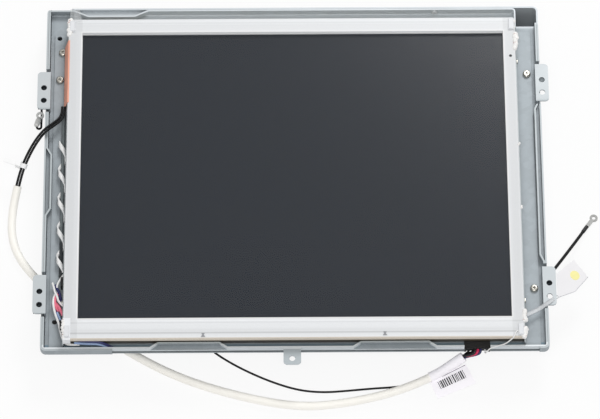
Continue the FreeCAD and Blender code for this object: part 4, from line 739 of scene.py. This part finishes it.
# Two small moulded lugs that locate the glass along its lower edge, each waisted like a spool.
# They are grey plastic, about half a millimetre thick on the face of the glass.
lugs = bmesh.new()
lug_heights = (38.02, 38.5)
for x, y in ((-64.8, -126.1), (63.6, -125.6)):
    for low, high, half_low, half_high in ((-1.0, 0.3, 1.5, 0.5), (0.3, 1.7, 0.5, 1.1)):
        ends = []
        for z in lug_heights:
            for px, py in ((-half_low, low), (half_low, low), (half_high, high), (-half_high, high)):
                ends.append(lugs.verts.new(((x + px) / 1000, (y + py) / 1000, z / 1000)))
        lugs.faces.new(ends[3::-1])
        lugs.faces.new(ends[4:])
        for k in range(4):
            lugs.faces.new((ends[k], ends[(k + 1) % 4], ends[4 + (k + 1) % 4], ends[4 + k]))
bmesh.ops.recalc_face_normals(lugs, faces=lugs.faces)
lug_plastic = surface("lug_plastic", (146, 148, 152), 0.5, grain=500, spread=0.06, bump=0.02)
mesh_piece("edge_lugs", lugs, lug_plastic)

# White tape over the glass's lower left corner, thin and half matt.
# It is stuck down by hand and folded round the edge.
dress("corner_tape", surface("white_tape", (236, 238, 241), 0.55, grain=240, spread=0.02, bump=0.03))

# The copper strip on the left edge of the glass: thin foil, rubbed down by hand.
# The twin leads are soldered to its lower end.
foil = surface("copper_foil", (226, 160, 136), 0.5, metal=0.2, grain=180, spread=0.1, bump=0.03,
               stretch=(1, 0.25, 1))
# The foil has a painted glow, a little light of its own.
dress("copper_tape", with_painted_glow(foil, (226, 160, 140), 0.1))

# The harness beside the module: a grey sheath in a loose white nylon ribbon, wound in a long helix.
# The tie on the touch cable is the same nylon; outlets, bush, grommets and plug are black rubber.
sheath = surface("harness_sheath", (112, 120, 122), 0.6, grain=300, spread=0.08, bump=0.02)
topped(sheath, [ranged(sheath, axes(sheath, "Object")["Y"], -0.047, -0.044, 1.0, 0.0)], (50, 55, 58))
dress("harness", sheath)
nylon = surface("white_nylon", (252, 252, 252), 0.45, grain=300, spread=0.02, bump=0.01)
dress("cable_tie", nylon)
winding = bpy.data.node_groups.new("wound_ribbon", "GeometryNodeTree")
winding.interface.new_socket("Geometry", in_out="OUTPUT", socket_type="NodeSocketGeometry")
wrap_sizes = (("Radius", 0.0022), ("Pitch", 0.0233), ("Turns", 4.5), ("Width", 0.0031), ("Gauge", 0.0008))
wrap_inputs = {}
for word, value in wrap_sizes:
    socket = winding.interface.new_socket(word, in_out="INPUT", socket_type="NodeSocketFloat")
    wrap_inputs[word] = socket.identifier
given = winding.nodes.new("NodeGroupInput")
result = winding.nodes.new("NodeGroupOutput")
length = winding.nodes.new("ShaderNodeMath")
length.operation = "MULTIPLY"
helix = winding.nodes.new("GeometryNodeCurveSpiral")
helix.inputs["Resolution"].default_value = 48
helix.inputs["Reverse"].default_value = False
upright = winding.nodes.new("GeometryNodeSetCurveNormal")
upright.mode = "Z_UP"
strip = winding.nodes.new("GeometryNodeCurvePrimitiveQuadrilateral")
ribbon = winding.nodes.new("GeometryNodeCurveToMesh")
ribbon.inputs["Fill Caps"].default_value = True
half_turn = winding.nodes.new("GeometryNodeTransform")
half_turn.inputs["Rotation"].default_value = (0, 0, math.pi)
laid = winding.nodes.new("GeometryNodeTransform")
laid.inputs["Rotation"].default_value = (math.pi / 2, 0, 0)
laid.inputs["Translation"].default_value = (-0.1674, 0.0344, 0.0266)
real = winding.nodes.new("GeometryNodeRealizeInstances")
coat = winding.nodes.new("GeometryNodeSetMaterial")
coat.inputs["Material"].default_value = nylon
for start, end in (
    (given.outputs["Pitch"], length.inputs[0]),
    (given.outputs["Turns"], length.inputs[1]),
    (given.outputs["Turns"], helix.inputs["Rotations"]),
    (length.outputs[0], helix.inputs["Height"]),
    (given.outputs["Radius"], helix.inputs["Start Radius"]),
    (given.outputs["Radius"], helix.inputs["End Radius"]),
    (given.outputs["Gauge"], strip.inputs["Width"]),
    (given.outputs["Width"], strip.inputs["Height"]),
    (helix.outputs["Curve"], upright.inputs["Curve"]),
    (upright.outputs["Curve"], ribbon.inputs["Curve"]),
    (strip.outputs["Curve"], ribbon.inputs["Profile Curve"]),
    (ribbon.outputs["Mesh"], half_turn.inputs["Geometry"]),
    (half_turn.outputs["Geometry"], laid.inputs["Geometry"]),
    (laid.outputs["Geometry"], real.inputs["Geometry"]),
    (real.outputs["Geometry"], coat.inputs["Geometry"]),
    (coat.outputs["Geometry"], result.inputs["Geometry"]),
):
    winding.links.new(start, end)
wrap_blank = bpy.data.objects.new("wrap_blank", bpy.data.meshes.new("wrap_blank"))
bpy.context.collection.objects.link(wrap_blank)
wound = wrap_blank.modifiers.new("wound", "NODES")
wound.node_group = winding
for word, value in wrap_sizes:
    wound[wrap_inputs[word]] = value
settled = wrap_blank.evaluated_get(bpy.context.evaluated_depsgraph_get())
wrap_mesh = bpy.data.meshes.new_from_object(settled)
wrap_mesh.name = "wrap_ribbon"
bpy.data.objects.remove(wrap_blank)
wrap_ribbon = bpy.data.objects.new("wrap_ribbon", wrap_mesh)
bpy.context.collection.objects.link(wrap_ribbon)
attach(wrap_ribbon, "root")
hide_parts("spiral_wrap")
black_rubber = surface("black_rubber", (26, 26, 27), 0.65, grain=500, spread=0.1, bump=0.03)
for node in ("lead_outlets", "edge_bush", "lead_grommets", "tail_plug"):
    dress(node, black_rubber)

# The lamp leads at the lower left: white, pink and blue silicone wires in a loose tangle.
# They come out under the bezel, cross each other and go back in, two of them along the bottom edge.
lead_white = surface("lead_white", (240, 240, 240), 0.45, grain=300, spread=0.02, bump=0.01)
lead_pink = surface("lead_pink", (232, 118, 140), 0.45, grain=300, spread=0.04, bump=0.01)
lead_navy = surface("lead_navy", (44, 46, 98), 0.45, grain=300, spread=0.06, bump=0.01)
lead_blue = surface("lead_blue", (150, 172, 208), 0.45, grain=300, spread=0.03, bump=0.01)
lamp_wires = [
    (lead_white, 0.8, [
        (-164.0, -72.6, 28.5), (-166.7, -77.0, 29.4), (-168.8, -80.8, 29.0), (-169.4, -84.4, 27.0),
        (-168.0, -88.0, 26.0)
    ]),
    (lead_white, 0.8, [
        (-172.4, -79.6, 28.2), (-171.2, -83.5, 29.4), (-170.6, -87.2, 29.4), (-168.6, -91.2, 29.8),
        (-167.8, -95.2, 30.0), (-164.0, -98.6, 29.0)
    ]),
    (lead_white, 0.85, [
        (-170.4, -88.6, 28.0), (-171.7, -93.0, 29.0), (-171.3, -98.6, 29.2), (-169.9, -104.5, 28.4),
        (-167.7, -110.0, 27.8), (-166.4, -116.0, 27.6), (-164.9, -122.4, 28.0), (-163.2, -127.0, 28.4),
        (-158.6, -128.6, 28.4), (-152.4, -128.0, 28.0)
    ]),
    (lead_pink, 1.1, [
        (-168.6, -88.4, 27.6), (-170.2, -90.8, 28.4), (-170.5, -94.4, 28.6), (-169.6, -98.8, 28.2),
        (-167.6, -101.4, 27.0)
    ]),
    (lead_pink, 1.1, [
        (-169.4, -95.6, 27.4), (-168.0, -97.8, 28.6), (-166.3, -101.2, 29.2), (-164.4, -105.4, 28.6)
    ]),
    (lead_navy, 1.0, [
        (-170.6, -80.8, 27.0), (-169.2, -83.6, 27.6), (-167.4, -87.0, 27.6), (-166.4, -92.0, 27.4),
        (-164.8, -97.2, 27.0)
    ]),
    (lead_navy, 0.9, [
        (-170.2, -98.6, 26.6), (-169.2, -102.0, 26.8), (-167.4, -106.6, 26.8), (-164.6, -110.6, 26.6)
    ]),
    (lead_blue, 0.8, [
        (-168.6, -102.8, 28.2), (-167.0, -106.8, 28.4), (-165.0, -111.2, 28.0)
    ]),
    (lead_navy, 0.9, [
        (-153.5, -126.4, 31.0), (-146.0, -126.9, 31.0), (-138.6, -127.1, 30.6), (-133.6, -128.2, 29.0),
        (-129.4, -129.2, 25.6)
    ]),
    (lead_blue, 0.9, [
        (-156.0, -127.2, 29.2), (-147.0, -128.2, 29.4), (-140.0, -128.0, 29.2), (-135.0, -128.9, 27.6),
        (-131.2, -129.3, 25.0)
    ]),
]
for i, (finish, radius, route) in enumerate(lamp_wires):
    wire_piece = cord_curve("lamp_wire_%d" % i, route, radius, finish)
    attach(wire_piece, "root")
    if i == 0:
        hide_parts("lamp_leads")

# Crimp terminals in tinned copper: the earth ring has a black heat-shrink sleeve, the ring by the ear
# a bare crimped barrel over the end of its wire.
tinned = surface("tinned_copper", (160, 160, 158), 0.5, metal=0.2, grain=500, spread=0.06, bump=0.015)
for node in ("earth_terminal", "earth_lug"):
    dress(node, tinned)
bright_tin = surface("bright_tin", (226, 226, 223), 0.4, metal=0.2, grain=500, spread=0.05, bump=0.015)
dress("ear_terminal", bright_tin)
shrink = surface("heat_shrink", (24, 24, 26), 0.5, grain=260, spread=0.08, bump=0.03)
dress("earth_sleeve", shrink)
barrel = bmesh.new()
barrel_route = [(Vector((-186.2, 67.6, 2.4)), 1.5), (Vector((-186.9, 65.4, 2.5)), 2.1),
                (Vector((-187.9, 62.4, 2.4)), 2.0), (Vector((-188.4, 60.9, 2.3)), 1.5)]
around_steps = 20
flatness = 0.75
last = len(barrel_route) - 1
rings = []
for k, (middle, radius) in enumerate(barrel_route):
    ahead = (barrel_route[min(k + 1, last)][0] - barrel_route[max(k - 1, 0)][0]).normalized()
    across = Vector((ahead.y, -ahead.x, 0)).normalized()
    over = across.cross(ahead)
    around = []
    for step in range(around_steps):
        turn = step * math.tau / around_steps
        place = middle + across * (radius * math.cos(turn)) + over * (flatness * radius * math.sin(turn))
        around.append(barrel.verts.new(place / 1000))
    rings.append(around)
for near, far in zip(rings, rings[1:]):
    for step in range(around_steps):
        ahead_step = (step + 1) % around_steps
        barrel.faces.new((near[step], near[ahead_step], far[ahead_step], far[step]))
barrel.faces.new(rings[0])
barrel.faces.new(rings[-1])
bmesh.ops.recalc_face_normals(barrel, faces=barrel.faces)
ear_barrel = mesh_piece("ear_barrel", barrel, bright_tin, smooth=True)
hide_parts("ear_sleeve")

# The film tag on the right edge: a white leaf with a round sticker, on a clear strap that passes over
# the lower ear to the corner of the glass. Another piece of clear film lies over the upper left corner.
tag_film = surface("tag_film", (241, 240, 242), 0.35, grain=120, spread=0.01, bump=0.008)
clear_film = surface("clear_film", (238, 240, 242), 0.3, grain=120, spread=0.01, bump=0.008)
clear_film.node_tree.nodes["Principled BSDF"].inputs["Alpha"].default_value = 0.4
thin_film = clear_film.copy()
thin_film.name = "thin_film"
thin_film.node_tree.nodes["Principled BSDF"].inputs["Alpha"].default_value = 0.16
cut_edge_and_shadow = surface("cut_edge_and_shadow", (190, 192, 196), 0.4, grain=300, spread=0.04, bump=0.01)
film_gauge = 0.25


def film_sheet(name, corners, finish):
    """Thin film from its corners in millimetres, in order round its edge."""
    sheet = bmesh.new()
    low = [sheet.verts.new(metres(corner)) for corner in corners]
    high = [sheet.verts.new(metres((x, y, z + film_gauge))) for x, y, z in corners]
    sheet.faces.new(low[::-1])
    sheet.faces.new(high)
    for k in range(len(low)):
        n = (k + 1) % len(low)
        sheet.faces.new((low[k], low[n], high[n], high[k]))
    bmesh.ops.recalc_face_normals(sheet, faces=sheet.faces)
    return mesh_piece(name, sheet, finish)


leaf_plan = ((187.0, -74.0), (200.1, -61.3), (209.9, -73.4), (200.0, -86.4), (188.6, -92.4), (187.2, -91.4))
leaf_height = 29.9
leaf_fall = 0.32
leaf_fold = 180.3
leaf = [(x, y, leaf_height - leaf_fall * (x - leaf_fold)) for x, y in leaf_plan]
tag_leaf = film_sheet("tag_leaf", leaf, tag_film)
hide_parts("film_tag")
strap_upper = [(187.2, -91.0, 27.7), (183.0, -94.0, 29.2), (178.2, -97.6, 29.3), (172.2, -102.3, 29.3),
               (164.0, -106.6, 30.4)]
strap_lower = [(188.6, -92.4, 27.3), (184.4, -96.4, 29.2), (179.4, -100.0, 29.3), (173.2, -104.7, 29.3),
               (164.4, -109.2, 30.4)]
for k in range(len(strap_upper) - 1):
    film_sheet("tag_strap_%d" % k, [strap_upper[k], strap_lower[k], strap_lower[k + 1], strap_upper[k + 1]],
               clear_film)
# Grey cords along the strap's edges and the leaf's lower edges: the strap's are its cut edges, the leaf's a
# painted shadow line.
leaf_edge = [leaf[2], leaf[3], leaf[3], leaf[4]]
film_edge_radius = 0.2
for word, route in (("strap_upper", strap_upper), ("strap_lower", strap_lower), ("leaf_edge", leaf_edge)):
    raised = [(x, y, z + film_gauge) for x, y, z in route]
    film_edge = cord_curve("film_" + word, raised, film_edge_radius, cut_edge_and_shadow)
    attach(film_edge, "root")
film_sheet("corner_film", [(-163.0, 126.7, 38.1), (-154.3, 129.1, 38.1), (-156.4, 143.9, 29.2),
                           (-163.4, 144.4, 29.2)], thin_film)
dress("tag_dot", surface("yellow_dot", (250, 243, 168), 0.55, grain=300, spread=0.015, bump=0.01))

# The boards in the well: green glass-fibre with black packages, wound parts and sockets.
# They stand on brass studs in the pan; the driver board is on the module's back.
mask_green = surface("solder_mask", (30, 92, 56), 0.35, grain=160, spread=0.12, bump=0.02)
for node in ("video_board", "lamp_board", "touch_board", "driver_board"):
    dress(node, mask_green)
moulded = surface("black_moulding", (28, 28, 29), 0.5, grain=600, spread=0.08, bump=0.03)
for node in ("board_chips", "video_socket", "touch_socket", "power_socket"):
    dress(node, moulded)
dress("board_capacitors", surface("capacitor_sleeve", (36, 44, 78), 0.3, grain=200, bump=0.01))
dress("lamp_transformers", surface("ferrite", (52, 50, 50), 0.7, grain=500, spread=0.1, bump=0.04))
